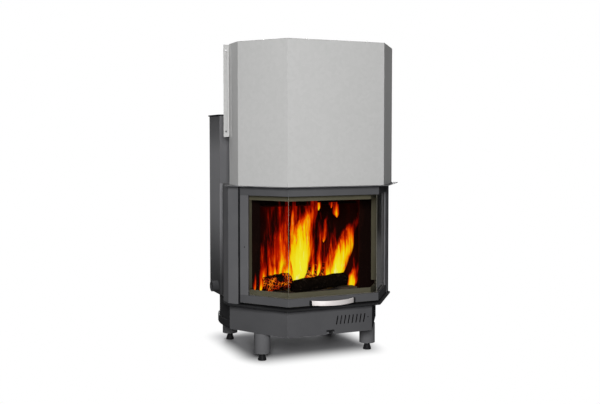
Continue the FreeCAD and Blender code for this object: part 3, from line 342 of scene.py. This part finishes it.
def satin_nickel(name):
    """Bar brushed along its length."""
    bar = Finish(name, Metallic=0.30)
    brushed = bar.grain(scale=30, detail=3, roughness=0.6, stretch=(1, 14, 14))
    return bar.feed(Base_Color=bar.blend(brushed, *NICKEL), Roughness=0.28 + brushed * 0.16,
                    Normal=bar.bump(brushed, depth=0.00004, strength=0.5)).material


def cast_iron(name):
    """Sand-cast surface with a rusty heat bloom."""
    iron = Finish(name, Metallic=0.3)
    sand = iron.grain(scale=260, detail=4)
    rust = iron.grain(scale=18, detail=5)
    return iron.feed(Base_Color=iron.blend(rust.within(0.5, 0.8), *RUSTY_IRON), Roughness=0.65 + sand * 0.25,
                     Normal=iron.bump(sand, depth=0.0008, strength=0.7)).material


def fired_clay(name):
    """Firebrick: speckled clay with soot over it."""
    clay = Finish(name)
    speck = clay.cells(240).within(0.1, 0.45)
    soot = clay.grain(scale=8, detail=5)
    pore = clay.grain(scale=320, detail=4)
    colour = clay.blend(soot.within(0.16, 0.54), clay.blend(speck, *BRICK_CLAY), SOOT[0])
    return clay.feed(Base_Color=colour, Roughness=0.85 + pore * 0.12,
                     Normal=clay.bump(pore, depth=0.0009, strength=0.6)).material


def woven_rope(name):
    """Braided glass rope: crossing ribs in two directions."""
    rope = Finish(name)
    ribs, cross = (
        rope.node("ShaderNodeTexWave", {"wave_type": "BANDS", "bands_direction": "DIAGONAL"},
                  {"Vector": rope.place((way, 1, 1)), "Scale": 120, "Distortion": 1.5}, "Fac")
        for way in (1, -1))
    weave = ribs * cross
    return rope.feed(Base_Color=rope.blend(weave, *GLASS_BRAID), Roughness=0.8 + weave * 0.15,
                     Normal=rope.bump(weave, depth=0.0012, strength=0.8)).material


def machined_bronze(name):
    """Bearing bronze with milling lines."""
    bronze = Finish(name, Metallic=0.9)
    mill = bronze.grain(scale=40, detail=2, roughness=0.5, stretch=(1, 12, 12))
    return bronze.feed(Base_Color=bronze.blend(mill, *BRONZE), Roughness=0.3 + mill * 0.2,
                       Normal=bronze.bump(mill, depth=0.0001, strength=0.4)).material


def mineral_wool(name):
    """Yellow-brown fibre felt."""
    wool = Finish(name)
    fibre = wool.grain(scale=90, detail=6, roughness=0.75, stretch=(1, 1, 5))
    return wool.feed(Base_Color=wool.blend(fibre, *WOOL), Roughness=0.88 + fibre * 0.1,
                     Normal=wool.bump(fibre, depth=0.003, strength=0.8)).material


def hearth_glass(name):
    """Clear ceramic glass: see-through with a smoky tint, a faint soot haze and a mirror at low angles."""
    glass = Finish(name)
    haze = glass.grain(scale=5, detail=4).within(0.4, 0.85)
    clear = glass.node("ShaderNodeBsdfTransparent", {}, {"Color": GLASS_TINT})
    mirror = glass.node("ShaderNodeBsdfGlossy", {}, {"Color": GLASS_GLARE, "Roughness": 0.03})
    edge = glass.node("ShaderNodeFresnel", {}, {"IOR": 1.16})
    return glass.show(edge.within(0.006, 0.30) * 0.6 + haze * 0.002, clear, mirror).material


# The finish of each material slot
FINISHES = {
    "stove_paint": stove_paint("stove_paint", STOVE_GREY, 0.50),
    "seal_paint": stove_paint("seal_paint", SEAL_OLIVE, 0.55),
    "galvanised_sheet": galvanised_sheet("galvanised_sheet"),
    "zinc_steel": bright_zinc("zinc_steel", PLATED_ZINC),
    "boiler_steel": boiler_plate("boiler_steel"),
    "black_trim": stove_paint("black_trim", TRIM_BLACK, 0.38),
    "handle_satin": satin_nickel("handle_satin"),
    "grate_iron": cast_iron("grate_iron"),
    "firebrick": fired_clay("firebrick"),
    "ceramic_glass": hearth_glass("ceramic_glass"),
    "rope_seal": woven_rope("rope_seal"),
    "bearing_bronze": machined_bronze("bearing_bronze"),
    "mineral_wool": mineral_wool("mineral_wool"),
}
# Finishes that are dirtier, darker or more matt than the rest of their slot, some of them with painted shade or
# painted firelight, and the nodes that take them
OWN_FINISHES = (
    (sooted_plate("sooted_plate"),
     ("firebox_liner", "cheek_plates", "ceiling_plate", "baffle_bars", "smoke_baffle")),
    (stove_paint("door_paint", DOOR_GREY, 0.50, MATT), ("door_bottom_rail", "door_top_rail", "plinth_skirt")),
    (stove_paint("socket_paint", SOCKET_GREY, 0.45), ("water_sockets",)),
    (stove_paint("front_paint", STOVE_GREY, 0.50, MATT), ("door_stiles", "front_posts")),
    (stove_paint("lid_paint", TRIM_BLACK, 0.55, MATT), ("boiler_lid",)),
    # Painted shade: the ash drum and hearth plate are painted near black where they stand in shade; the air
    # shutter, air lever and base band take the same black
    (stove_paint("blackened_plate", BLACK_AND_SHADE, 0.55),
     ("air_shutter", "air_lever", "ash_drum", "hearth_plate", "base_band")),
    (casing_paint("casing_paint"), ("casing",)),
)
OWN_FINISH = {node: finish for finish, nodes in OWN_FINISHES for node in nodes}

# Folded and flat plates, with the width in metres of their broken edges
PLATES = {
    "hood_shell": 0.0009, "hood_cover": 0.0008, "wall_brackets": 0.0007, "door_bottom_rail": 0.0012,
    "door_top_rail": 0.0012, "door_stiles": 0.0012, "plinth_skirt": 0.0008, "front_posts": 0.0012,
    "lintel_rim": 0.0008, "hearth_plate": 0.0020, "boiler_lid": 0.0015, "handle_bar": 0.0012,
    "handle_blocks": 0.0015, "seal_sill": 0.0008, "seal_head": 0.0008, "seal_jambs": 0.0008,
    "base_band": 0.0015, "counterweight": 0.0020, "hearth_bricks": 0.0030, "fire_grate": 0.0015,
    "casing_front": 0.0006,
}
# The turn from which an edge is broken, how near two points are one, and the weight of a large flat face
SHARP_TURN = math.radians(25)
SAME_POINT = 0.00002
FLATNESS = 100


def finish_frame():
    """Every CAD node keeps its shape and takes its finish, and the plates get broken edges."""
    slot_of = {row["node"]: row["material_slot"] for row in frame["record"]["subparts"]}
    for name, node in frame["nodes"].items():
        node.data.materials.clear()
        node.data.materials.append(OWN_FINISH.get(name) or FINISHES[slot_of[name]])
        if name in PLATES:
            weld = node.modifiers.new("one_skin", "WELD")
            weld.merge_threshold = SAME_POINT
            edge = node.modifiers.new("broken_edge", "BEVEL")
            edge.width = PLATES[name]
            edge.segments = 2
            edge.limit_method = "ANGLE"
            edge.angle_limit = SHARP_TURN
            flat = node.modifiers.new("flat_faces", "WEIGHTED_NORMAL")
            flat.weight = FLATNESS
            flat.keep_sharp = False


finish_frame()


def grid_mesh(name, points, closed_u, finish, v_start=0.0):
    """A mesh of quads over a grid of points, rows by columns, with the columns joined up if closed_u.

    In its UV map u runs from 0 to 1 along the columns, and v from v_start to 1 along the rows.
    """
    rows, columns = points.shape[:2]
    row = np.arange(rows - 1)[:, None]
    column = np.arange(columns if closed_u else columns - 1)[None, :]
    after = (column + 1) % columns
    faces = np.stack([row * columns + column, row * columns + after,
                      (row + 1) * columns + after, (row + 1) * columns + column], axis=-1)
    mesh = bpy.data.meshes.new(name)
    mesh.from_pydata(points.reshape(-1, 3).tolist(), [], faces.reshape(-1, 4).tolist())
    step_u = 1 / column.size
    step_v = (1 - v_start) / (rows - 1)
    u = np.broadcast_to(column * step_u, faces.shape[:2])
    v = np.broadcast_to(v_start + row * step_v, faces.shape[:2])
    corners = np.stack([np.stack([u, v], -1), np.stack([u + step_u, v], -1),
                        np.stack([u + step_u, v + step_v], -1), np.stack([u, v + step_v], -1)], axis=2)
    mesh.uv_layers.new(name="along").data.foreach_set("uv", corners.reshape(-1))
    mesh.materials.append(finish)
    mesh.polygons.foreach_set("use_smooth", [True] * len(mesh.polygons))
    return added(name, mesh)


def added(name, data):
    """An object of the data, in the scene."""
    thing = bpy.data.objects.new(name, data)
    bpy.context.scene.collection.objects.link(thing)
    return thing


def joined(name, parts):
    """Several meshes as one piece."""
    with bpy.context.temp_override(active_object=parts[0], selected_editable_objects=parts):
        bpy.ops.object.join()
    parts[0].name = name
    parts[0].data.name = name
    return parts[0]


def full_turn(steps):
    """Angles of a whole turn, without the one that closes it."""
    return np.linspace(0, 2 * math.pi, steps, endpoint=False)


def bezier(points, share):
    """A smooth path: control points weighted by the Bernstein polynomials of the share along it."""
    points = np.array(points, float)
    degree = len(points) - 1
    powers = np.arange(degree + 1)
    counts = np.array([math.comb(degree, k) for k in powers])
    weights = counts * share[:, None] ** powers * (1 - share[:, None]) ** (degree - powers)
    return weights @ points


def flame_finish(name):
    """Burning gas: hottest in the middle of its root, cooler to its edges and its tip, in upright streaks.

    The flame's u runs across it, and its v tells how far it has cooled.
    """
    fire = Finish(name, Base_Color=BLACK, Roughness=1.0, Specular_IOR_Level=0.0, Emission_Strength=1.0)
    place = fire.node("ShaderNodeTexCoord", output="UV")
    across = fire.part(place, "X") * 2 - 1
    cooled = fire.part(place, "Y")
    streak = fire.grain(scale=52, detail=4, roughness=0.65, stretch=(1, 1, 0.10)) - 0.5
    strand = fire.grain(scale=85, detail=3, roughness=0.6, stretch=(1, 1, 0.07)) - 0.5
    curl = fire.grain(scale=9, detail=3, roughness=0.6, stretch=(1, 1, 0.35)) - 0.5
    aside = abs(across + curl * 1.1)
    heat = (1 - aside ** 1.6) * (1 - cooled) ** 1.1 * 1.2 + streak * 1.2 + curl * 0.3
    colour = fire.node("ShaderNodeValToRGB", {"stops": FLAME_STOPS}, {0: heat}, "Color")
    pale = (heat * 0.4 + strand * 2.0).within(0.50, 0.95)
    soft_edge = (1 - abs(across)).within(0.0, 0.50)
    return fire.feed(Emission_Color=fire.blend(pale, colour, PALE_FLAME),
                     Alpha=heat.within(0.0, 0.44) * soft_edge).material


FLAME = flame_finish("flame")
# Each flame: depth into the fire, path of sideways and height points, half width, and how far it has cooled
# at its root, which is below zero for the hottest
FLAMES = (
    (-0.050, ((-0.034, 0.300), (-0.040, 0.420), (-0.030, 0.530), (0.000, 0.600), (0.052, 0.660),
              (0.038, 0.800)), 0.092, -0.25),
    (-0.030, ((-0.012, 0.310), (-0.010, 0.400), (-0.008, 0.480), (0.000, 0.570), (0.014, 0.680)),
     0.060, -0.45),
    (-0.030, ((-0.108, 0.310), (-0.118, 0.420), (-0.114, 0.540), (-0.095, 0.660), (-0.088, 0.820)),
     0.068, 0.34),
    (-0.058, ((-0.086, 0.310), (-0.092, 0.390), (-0.078, 0.450), (-0.080, 0.540)), 0.054, 0.16),
    (-0.045, ((0.176, 0.315), (0.184, 0.410), (0.205, 0.490), (0.262, 0.560), (0.316, 0.680)),
     0.080, -0.10),
    (-0.026, ((0.192, 0.320), (0.198, 0.400), (0.224, 0.460), (0.256, 0.570)), 0.056, -0.40),
    (-0.035, ((0.140, 0.320), (0.144, 0.420), (0.172, 0.480), (0.176, 0.590)), 0.050, 0.26),
    (-0.075, ((0.250, 0.270), (0.254, 0.330), (0.276, 0.370), (0.280, 0.450)), 0.040, 0.18),
    (-0.030, ((0.088, 0.345), (0.104, 0.410), (0.086, 0.470), (0.098, 0.570)), 0.025, 0.28),
    (-0.025, ((0.066, 0.350), (0.058, 0.385), (0.070, 0.420), (0.066, 0.460)), 0.018, 0.36),
    (-0.020, ((0.124, 0.510), (0.130, 0.560), (0.124, 0.600), (0.152, 0.660)), 0.022, 0.40),
    (0.010, ((0.214, 0.630), (0.196, 0.670), (0.206, 0.720), (0.188, 0.800)), 0.030, 0.34),
    (0.000, ((0.178, 0.680), (0.172, 0.710), (0.180, 0.740), (0.174, 0.800)), 0.018, 0.46),
    (0.005, ((0.108, 0.670), (0.114, 0.700), (0.104, 0.730), (0.110, 0.800)), 0.016, 0.48),
    (-0.040, ((-0.196, 0.330), (-0.216, 0.390), (-0.190, 0.440), (-0.212, 0.500)), 0.026, 0.46),
    (-0.035, ((-0.166, 0.330), (-0.156, 0.390), (-0.184, 0.430), (-0.176, 0.520)), 0.026, 0.44),
    (-0.050, ((-0.226, 0.310), (-0.236, 0.340), (-0.214, 0.380), (-0.222, 0.440)), 0.022, 0.40),
    (-0.040, ((-0.138, 0.330), (-0.146, 0.380), (-0.130, 0.420), (-0.142, 0.480)), 0.028, 0.34),
    (-0.046, ((-0.128, 0.400), (-0.150, 0.500), (-0.112, 0.600), (-0.128, 0.780)), 0.020, 0.54),
    (-0.044, ((-0.060, 0.480), (-0.048, 0.580), (-0.062, 0.660), (-0.030, 0.810)), 0.022, 0.36),
    (0.040, ((0.000, 0.300), (-0.010, 0.460), (0.010, 0.620), (0.000, 0.930)), 0.300, 0.70),
    (-0.170, ((-0.296, 0.318), (-0.303, 0.350), (-0.290, 0.385), (-0.298, 0.432)), 0.014, 0.42),
    (-0.174, ((-0.270, 0.312), (-0.264, 0.355), (-0.276, 0.400), (-0.262, 0.472)), 0.017, 0.40),
)
# Half width from which a flame is the wide sheet behind the others, how far both kinds bow towards the door as
# shares of the half width, and the grid of a flame, with the turn in degrees from its middle to its edge
WIDE = 0.2
BOW_NARROW = 0.45
BOW_WIDE = 0.12
LICK_ROWS = 48
LICK_COLUMNS = 15
LICK_TURN = 70


def lick(depth, path, half_width, cooled):
    """A flame: a bowed sheet carried up a smooth path, full at its foot and thin at its tip.

    Half width is w (1-t)^0.5 (1-(1-t)^7) at the share t. Across, the sheet is an arc of twice LICK_TURN, pressed
    flat by its bow. It sways sideways by 0.16 w t sin(2 pi (2 t + chance)).
    """
    t = np.linspace(0, 1, LICK_ROWS)
    middle = bezier(path, t)
    width = half_width * (1 - t) ** 0.5 * (1 - (1 - t) ** 7)
    sway = 0.16 * half_width * t * np.sin(2 * math.pi * (2.0 * t + random.random()))
    turn = np.radians(np.linspace(-LICK_TURN, LICK_TURN, LICK_COLUMNS))
    bow = BOW_NARROW if half_width < WIDE else BOW_WIDE
    x = middle[:, :1] + sway[:, None] + width[:, None] * np.sin(turn) / math.sin(turn[-1])
    y = depth - bow * width[:, None] * np.cos(turn)
    z = np.broadcast_to(middle[:, 1:], x.shape)
    return grid_mesh("lick", np.stack([x, y, z], -1), False, FLAME, cooled)


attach(joined("flames", [lick(*row) for row in FLAMES]), "boiler")


def burnt_wood(name, glow):
    """Charred log: black cracked bark, with embers in the cracks where it glows."""
    wood = Finish(name, Specular_IOR_Level=0.02, Emission_Strength=1.1)
    wave = wood.node("ShaderNodeTexNoise", {}, {"Vector": wood.place(), "Scale": 70, "Detail": 3}, "Color")
    where = wood.node("ShaderNodeVectorMath", {"operation": "MULTIPLY_ADD"},
                      {0: wave, 1: (0.012, 0.012, 0.012), 2: wood.place((1, 1, 0.7))}, "Vector")
    blocks = wood.cells(82, "Distance", where, "DISTANCE_TO_EDGE")
    crack = 1 - blocks.within(0.03, 0.17)
    patch = wood.grain(scale=16, detail=4).within(0.62 - 0.23 * glow, 0.86 - 0.22 * glow)
    ash = wood.grain(scale=60, detail=5)
    ember = wood.node("ShaderNodeValToRGB", {"stops": EMBER_STOPS}, {0: crack * patch}, "Color")
    return wood.feed(Base_Color=wood.blend(ash.within(0.55, 0.8), *CHAR), Roughness=0.85 + ash * 0.1,
                     Emission_Color=ember,
                     Normal=wood.bump(blocks.within(0.0, 0.3), depth=0.004, strength=0.8)).material


LOG_RINGS = 24
LOG_SIDES = 40


def log(name, start, end, radius, finish):
    """A split log: a lumpy round carried along a straight path and closed by flat ends.

    At the angle a and the share t its radius is R (1 + 0.10 sin(2 a + p) + 0.05 sin(5 a - p) +
    0.03 sin(11 a) + 0.05 sin(7 pi t + 2 a)), with a chance phase p. It is a little less in the last rings, where
    the edge is rounded, and nothing in the outermost, which close the ends.
    """
    start, end = np.array(start, float), np.array(end, float)
    way = (end - start) / np.linalg.norm(end - start)
    side = np.cross(way, (0, 0, 1))
    side /= np.linalg.norm(side)
    up = np.cross(side, way)
    t = np.concatenate([[0, 0, 0.02], np.linspace(0.05, 0.95, LOG_RINGS), [0.98, 1, 1]])
    size = np.concatenate([[0, 0.92, 0.98], np.ones(LOG_RINGS), [0.98, 0.92, 0]])
    angle = full_turn(LOG_SIDES)
    phase = 6 * random.random()
    lump = 1 + 0.10 * np.sin(2 * angle + phase) + 0.05 * np.sin(5 * angle - phase) + 0.03 * np.sin(11 * angle)
    knots = 0.05 * np.sin(7 * t[:, None] * math.pi + 2 * angle[None, :])
    reach = radius * size[:, None] * (lump[None, :] + knots)
    points = (start + t[:, None] * (end - start))[:, None, :] + reach[..., None] * (
        np.cos(angle)[None, :, None] * side + np.sin(angle)[None, :, None] * up)
    return grid_mesh(name, points, True, finish)


CHARRED = burnt_wood("charred_wood", 0.15)
GLOWING = burnt_wood("glowing_wood", 1.0)
# Each log: name, middles of its two ends, radius and finish
LOGS = (
    ("log_front", (-0.098, -0.170, 0.324), (0.204, -0.100, 0.334), 0.034, CHARRED),
    ("log_left", (-0.226, -0.110, 0.333), (-0.092, -0.085, 0.342), 0.040, GLOWING),
    ("log_rear", (-0.030, 0.020, 0.360), (0.175, 0.030, 0.360), 0.042, GLOWING),
)
for row in LOGS:
    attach(log(*row), "boiler")


def bead_finish(name):
    """Clear sealing bead and ground glass edges, with small bubbles and smears."""
    bead = Finish(name, Specular_IOR_Level=0.2)
    smear = bead.grain(scale=40, detail=4, roughness=0.6, stretch=(1, 1, 0.2))
    return bead.feed(Base_Color=bead.blend(smear, *CLEAR_BEAD), Roughness=0.4 + smear * 0.2,
                     Normal=bead.bump(smear, depth=0.0002, strength=0.4)).material


BEAD = bead_finish("pane_bead")
BEAD_RADIUS = 0.0008
BEAD_SIDES = 16
BEAD_RINGS = 24


def pane_bead(side_name, x, y):
    """A bead at a frameless corner of the glass: a circle round x and y, carried up from rail to rail."""
    turn = full_turn(BEAD_SIDES)
    rise = np.linspace(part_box("door_bottom_rail")[1][2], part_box("door_top_rail")[0][2], BEAD_RINGS)
    ring = np.stack([x + BEAD_RADIUS * np.cos(turn), y + BEAD_RADIUS * np.sin(turn)], -1)
    rings = np.concatenate([np.broadcast_to(ring, (rise.size, *ring.shape)),
                            np.broadcast_to(rise[:, None, None], (rise.size, turn.size, 1))], -1)
    return grid_mesh(f"pane_bead_{side_name}", rings, True, BEAD)


pane_low, pane_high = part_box("glass_front")
for side_name, corner_x in (("left", pane_low[0]), ("right", pane_high[0])):
    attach(pane_bead(side_name, corner_x, pane_low[1]), "door")

# Heads of small screws
SCREW_RADIUS = 0.0028
SCREW_RISE = 0.0012
SCREW_RINGS = 9
SCREW_SIDES = 24
# Their places: in from a stile's outer edge, back from its front and below its middle, with the way that the
# stile faces, and on the plinth, sideways and above its middle
STILE_SCREW_IN = 0.0147
STILE_SCREW_BACK = 0.0135
STILE_SCREW_DROP = 0.008
STILE_FACING = (0.798, -0.603)
PLINTH_SCREW_X = 0.194
PLINTH_SCREW_UP = 0.002


def screw_head(name, centre, outward, body):
    """A domed screw head: rings of radius R sin(q) and rise h cos(q), for q from 0 to a right angle."""
    outward = np.array(outward, float) / np.linalg.norm(outward)
    across = np.cross(outward, (0, 0, 1))
    up = np.cross(across, outward)
    q = np.linspace(0, math.pi / 2, SCREW_RINGS)[:, None, None]
    a = full_turn(SCREW_SIDES)[None, :, None]
    ring = SCREW_RADIUS * np.sin(q) * (np.cos(a) * across + np.sin(a) * up)
    points = np.array(centre) + ring + SCREW_RISE * np.cos(q) * outward
    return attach(grid_mesh(name, points, True, FINISHES["black_trim"]), body)


stile_low, stile_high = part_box("door_stiles")
stile_middle = (stile_low[2] + stile_high[2]) / 2
for side_name, way in (("left", -1), ("right", 1)):
    screw_head(f"stile_screw_{side_name}",
               (way * (stile_high[0] - STILE_SCREW_IN), stile_low[1] + STILE_SCREW_BACK,
                stile_middle - STILE_SCREW_DROP),
               (way * STILE_FACING[0], STILE_FACING[1], 0), "door")
plinth_low, plinth_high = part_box("plinth_skirt")
plinth_middle = (plinth_low[2] + plinth_high[2]) / 2
screw_head("plinth_screw", (PLINTH_SCREW_X, plinth_low[1], plinth_middle + PLINTH_SCREW_UP),
           (0, -1, 0), "boiler")

# Wire ropes from the door's lugs, over the pulleys, to the counterweight. The short run to the weight has one
# ring for several of the door's
ROPE_RADIUS = 0.002
ROPE_LAY = 0.030
STRANDS = 6
STRAND_SWELL = 0.14
DOOR_RUN_RINGS = 260
WEIGHT_RUN_STEP = 6
BEND_RINGS = 60
PULLEY_AXIS = (1, 0, 0)
WIRE_ROPE = bright_zinc("wire_rope", ROPE_ZINC)


def rope(name, path):
    """A laid wire rope: a tube along a path that swells at each strand, with strands that turn once per lay.

    At the angle a and the length s, with n strands and the swell w, the radius is
    R (1 - w + w |cos(n (a - 2 pi s / lay) / 2)|).
    """
    step = np.linalg.norm(np.diff(path, axis=0), axis=1)
    length = np.concatenate([[0], np.cumsum(step)])
    way = np.gradient(path, axis=0)
    way /= np.linalg.norm(way, axis=1)[:, None]
    across = np.array(PULLEY_AXIS)
    out = np.cross(way, across)
    angle = full_turn(4 * STRANDS)
    turned = angle[None, :] - 2 * math.pi * length[:, None] / ROPE_LAY
    reach = ROPE_RADIUS * (1 - STRAND_SWELL + STRAND_SWELL * np.abs(np.cos(STRANDS * turned / 2)))
    points = path[:, None, :] + reach[..., None] * (
        np.cos(angle)[None, :, None] * across + np.sin(angle)[None, :, None] * out[:, None, :])
    return grid_mesh(name, points, True, WIRE_ROPE)


def hung_ropes():
    """Both ropes: a straight run to the door, a half turn over the pulley and a run to the counterweight."""
    joints = {joint["name"]: joint for joint in frame["joints"]}
    rope_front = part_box("lift_cables")[0][1]
    weight_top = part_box("counterweight")[1][2]
    lug_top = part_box("cable_lugs")[1][2]
    drop = np.linspace(0, 1, DOOR_RUN_RINGS)[:, None]
    half_turn = np.linspace(0, math.pi, BEND_RINGS)
    for side in ("left", "right"):
        x, y, z = joints[f"pulley_{side}_turn"]["pos_m"]
        radius = y - (rope_front + ROPE_RADIUS)
        door_run = np.array([x, y - radius, z]) + drop * np.array([0, 0, lug_top - z])
        weight_run = np.array([x, y + radius, z]) + drop[::WEIGHT_RUN_STEP] * np.array([0, 0, weight_top - z])
        bend = np.stack([np.full(BEND_RINGS, x), y - radius * np.cos(half_turn),
                         z + radius * np.sin(half_turn)], -1)
        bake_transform(rope(f"door_rope_{side}", door_run))
        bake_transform(rope(f"weight_rope_{side}", weight_run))
        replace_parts(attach(rope(f"rope_bend_{side}", bend), "boiler"), "lift_cables")


hung_ropes()

# Camera left of the front, a little above the door's top: place in metres, heading and tilt in degrees, sensor
# and lens in millimetres, and the lens's shift
CAMERA_PLACE = (-1.675, -3.9225, 1.016)
CAMERA_HEADING = 23.2
CAMERA_TILT = 2.7
SENSOR_WIDTH = 36
LENS = 51.6
LENS_SHIFT = -0.033
# Footprint of a painted shadow, a grey patch where the floor shows its own grey with the real shadow in it, and
# how far beyond it the floor fades to white, sideways and in depth, in metres
SHADOW_MIDDLE = (-0.005, 0.07)
SHADOW_HALF = (0.262, 0.18)
SHADOW_FADE = (0.14, 0.25)
FLOOR_HALF = 14.0
# Strength of the white world for matt surfaces, and the rays that see it in full
WORLD_LEVEL = 0.03
WHITE_FOR = ("Is Camera Ray", "Is Transmission Ray", "Is Glossy Ray")
# Each lamp: name, power in watts, size, place, and the point that it faces
LAMPS = (
    ("front", 222, 1.2, (-1.802, -4.308, 1.60), (0, 0, 0.8)),
    ("overhead", 130, 1.0, (-0.8, 0.6, 4.2), (-0.2, 0.2, 0.0)),
    ("rear", 230, 2.0, (1.7, 4.4, 1.9), (0, 0, 0.8)),
)


def photograph_view():
    """The camera at the photograph's angle."""
    camera = added("camera", bpy.data.cameras.new("camera"))
    camera.location = CAMERA_PLACE
    camera.rotation_euler = (math.pi / 2 - math.radians(CAMERA_TILT), 0, -math.radians(CAMERA_HEADING))
    camera.data.sensor_width = SENSOR_WIDTH
    camera.data.lens = LENS
    camera.data.shift_y = LENS_SHIFT
    bpy.context.scene.camera = camera


def white_world():
    """A world that is white to the camera, through glass and in gloss, and dim as a light."""
    world = bpy.data.worlds.new("studio")
    bpy.context.scene.world = world
    world.use_nodes = True
    board = Board(world.node_tree)
    camera, glass, gloss = (board.node("ShaderNodeLightPath", output=kind) for kind in WHITE_FOR)
    shown = camera.at_least(glass).at_least(gloss)
    sky = board.nodes["Background"].inputs
    board.put(sky["Color"], WHITE)
    board.put(sky["Strength"], board.node("ShaderNodeMapRange", {}, {"Value": shown, "To Min": WORLD_LEVEL}))


def floor_finish(name):
    """Grey floor that keeps the real shadow, and to the camera shows a painted shadow: a grey patch over the
    shadow's footprint that fades to white beyond it.

    The fade follows the root of the sum of two squares: how far a point is past the footprint sideways and in
    depth, each over its own fade.
    """
    floor = Finish(name, Roughness=0.9, Specular_IOR_Level=0.0)
    beyond = []
    for axis, middle, half, fade in zip("XY", SHADOW_MIDDLE, SHADOW_HALF, SHADOW_FADE):
        past = abs(floor.part(floor.place(), axis) - middle) - half
        beyond.append(past.at_least(0.0) / fade)
    sideways, deep = beyond
    far = (sideways * sideways + deep * deep) ** 0.5
    looked_at = floor.node("ShaderNodeLightPath", output="Is Camera Ray")
    floor.feed(Base_Color=floor.blend(looked_at, *FLOOR_GREY))
    white = floor.node("ShaderNodeEmission", {}, {"Color": WHITE, "Strength": 1.0})
    # Painted shadow: to the camera the floor is grey over the footprint and white beyond it
    return floor.show(far.within(0.0, 1.0) * looked_at, Wire(floor, floor.shader.outputs[0]), white).material


def white_floor():
    """A square floor under the feet."""
    mesh = bpy.data.meshes.new("floor")
    corners = [(x * FLOOR_HALF, y * FLOOR_HALF, 0) for x, y in ((-1, -1), (1, -1), (1, 1), (-1, 1))]
    mesh.from_pydata(corners, [], [(0, 1, 2, 3)])
    mesh.materials.append(floor_finish("studio_floor"))
    added("floor", mesh)


def studio_lamps():
    """A key beside the camera, one from above, and one that lights only the far sides."""
    for name, power, size, spot, aim in LAMPS:
        lamp = bpy.data.lights.new(name, "AREA")
        lamp.energy = power
        lamp.size = size
        holder = added(name, lamp)
        holder.location = spot
        way = np.array(aim) - np.array(spot)
        tilt = math.acos(-way[2] / np.linalg.norm(way))
        holder.rotation_euler = (tilt, 0, math.atan2(way[1], way[0]) - math.pi / 2)


photograph_view()
white_world()
white_floor()
studio_lamps()
bpy.context.scene.view_settings.view_transform = "Standard"
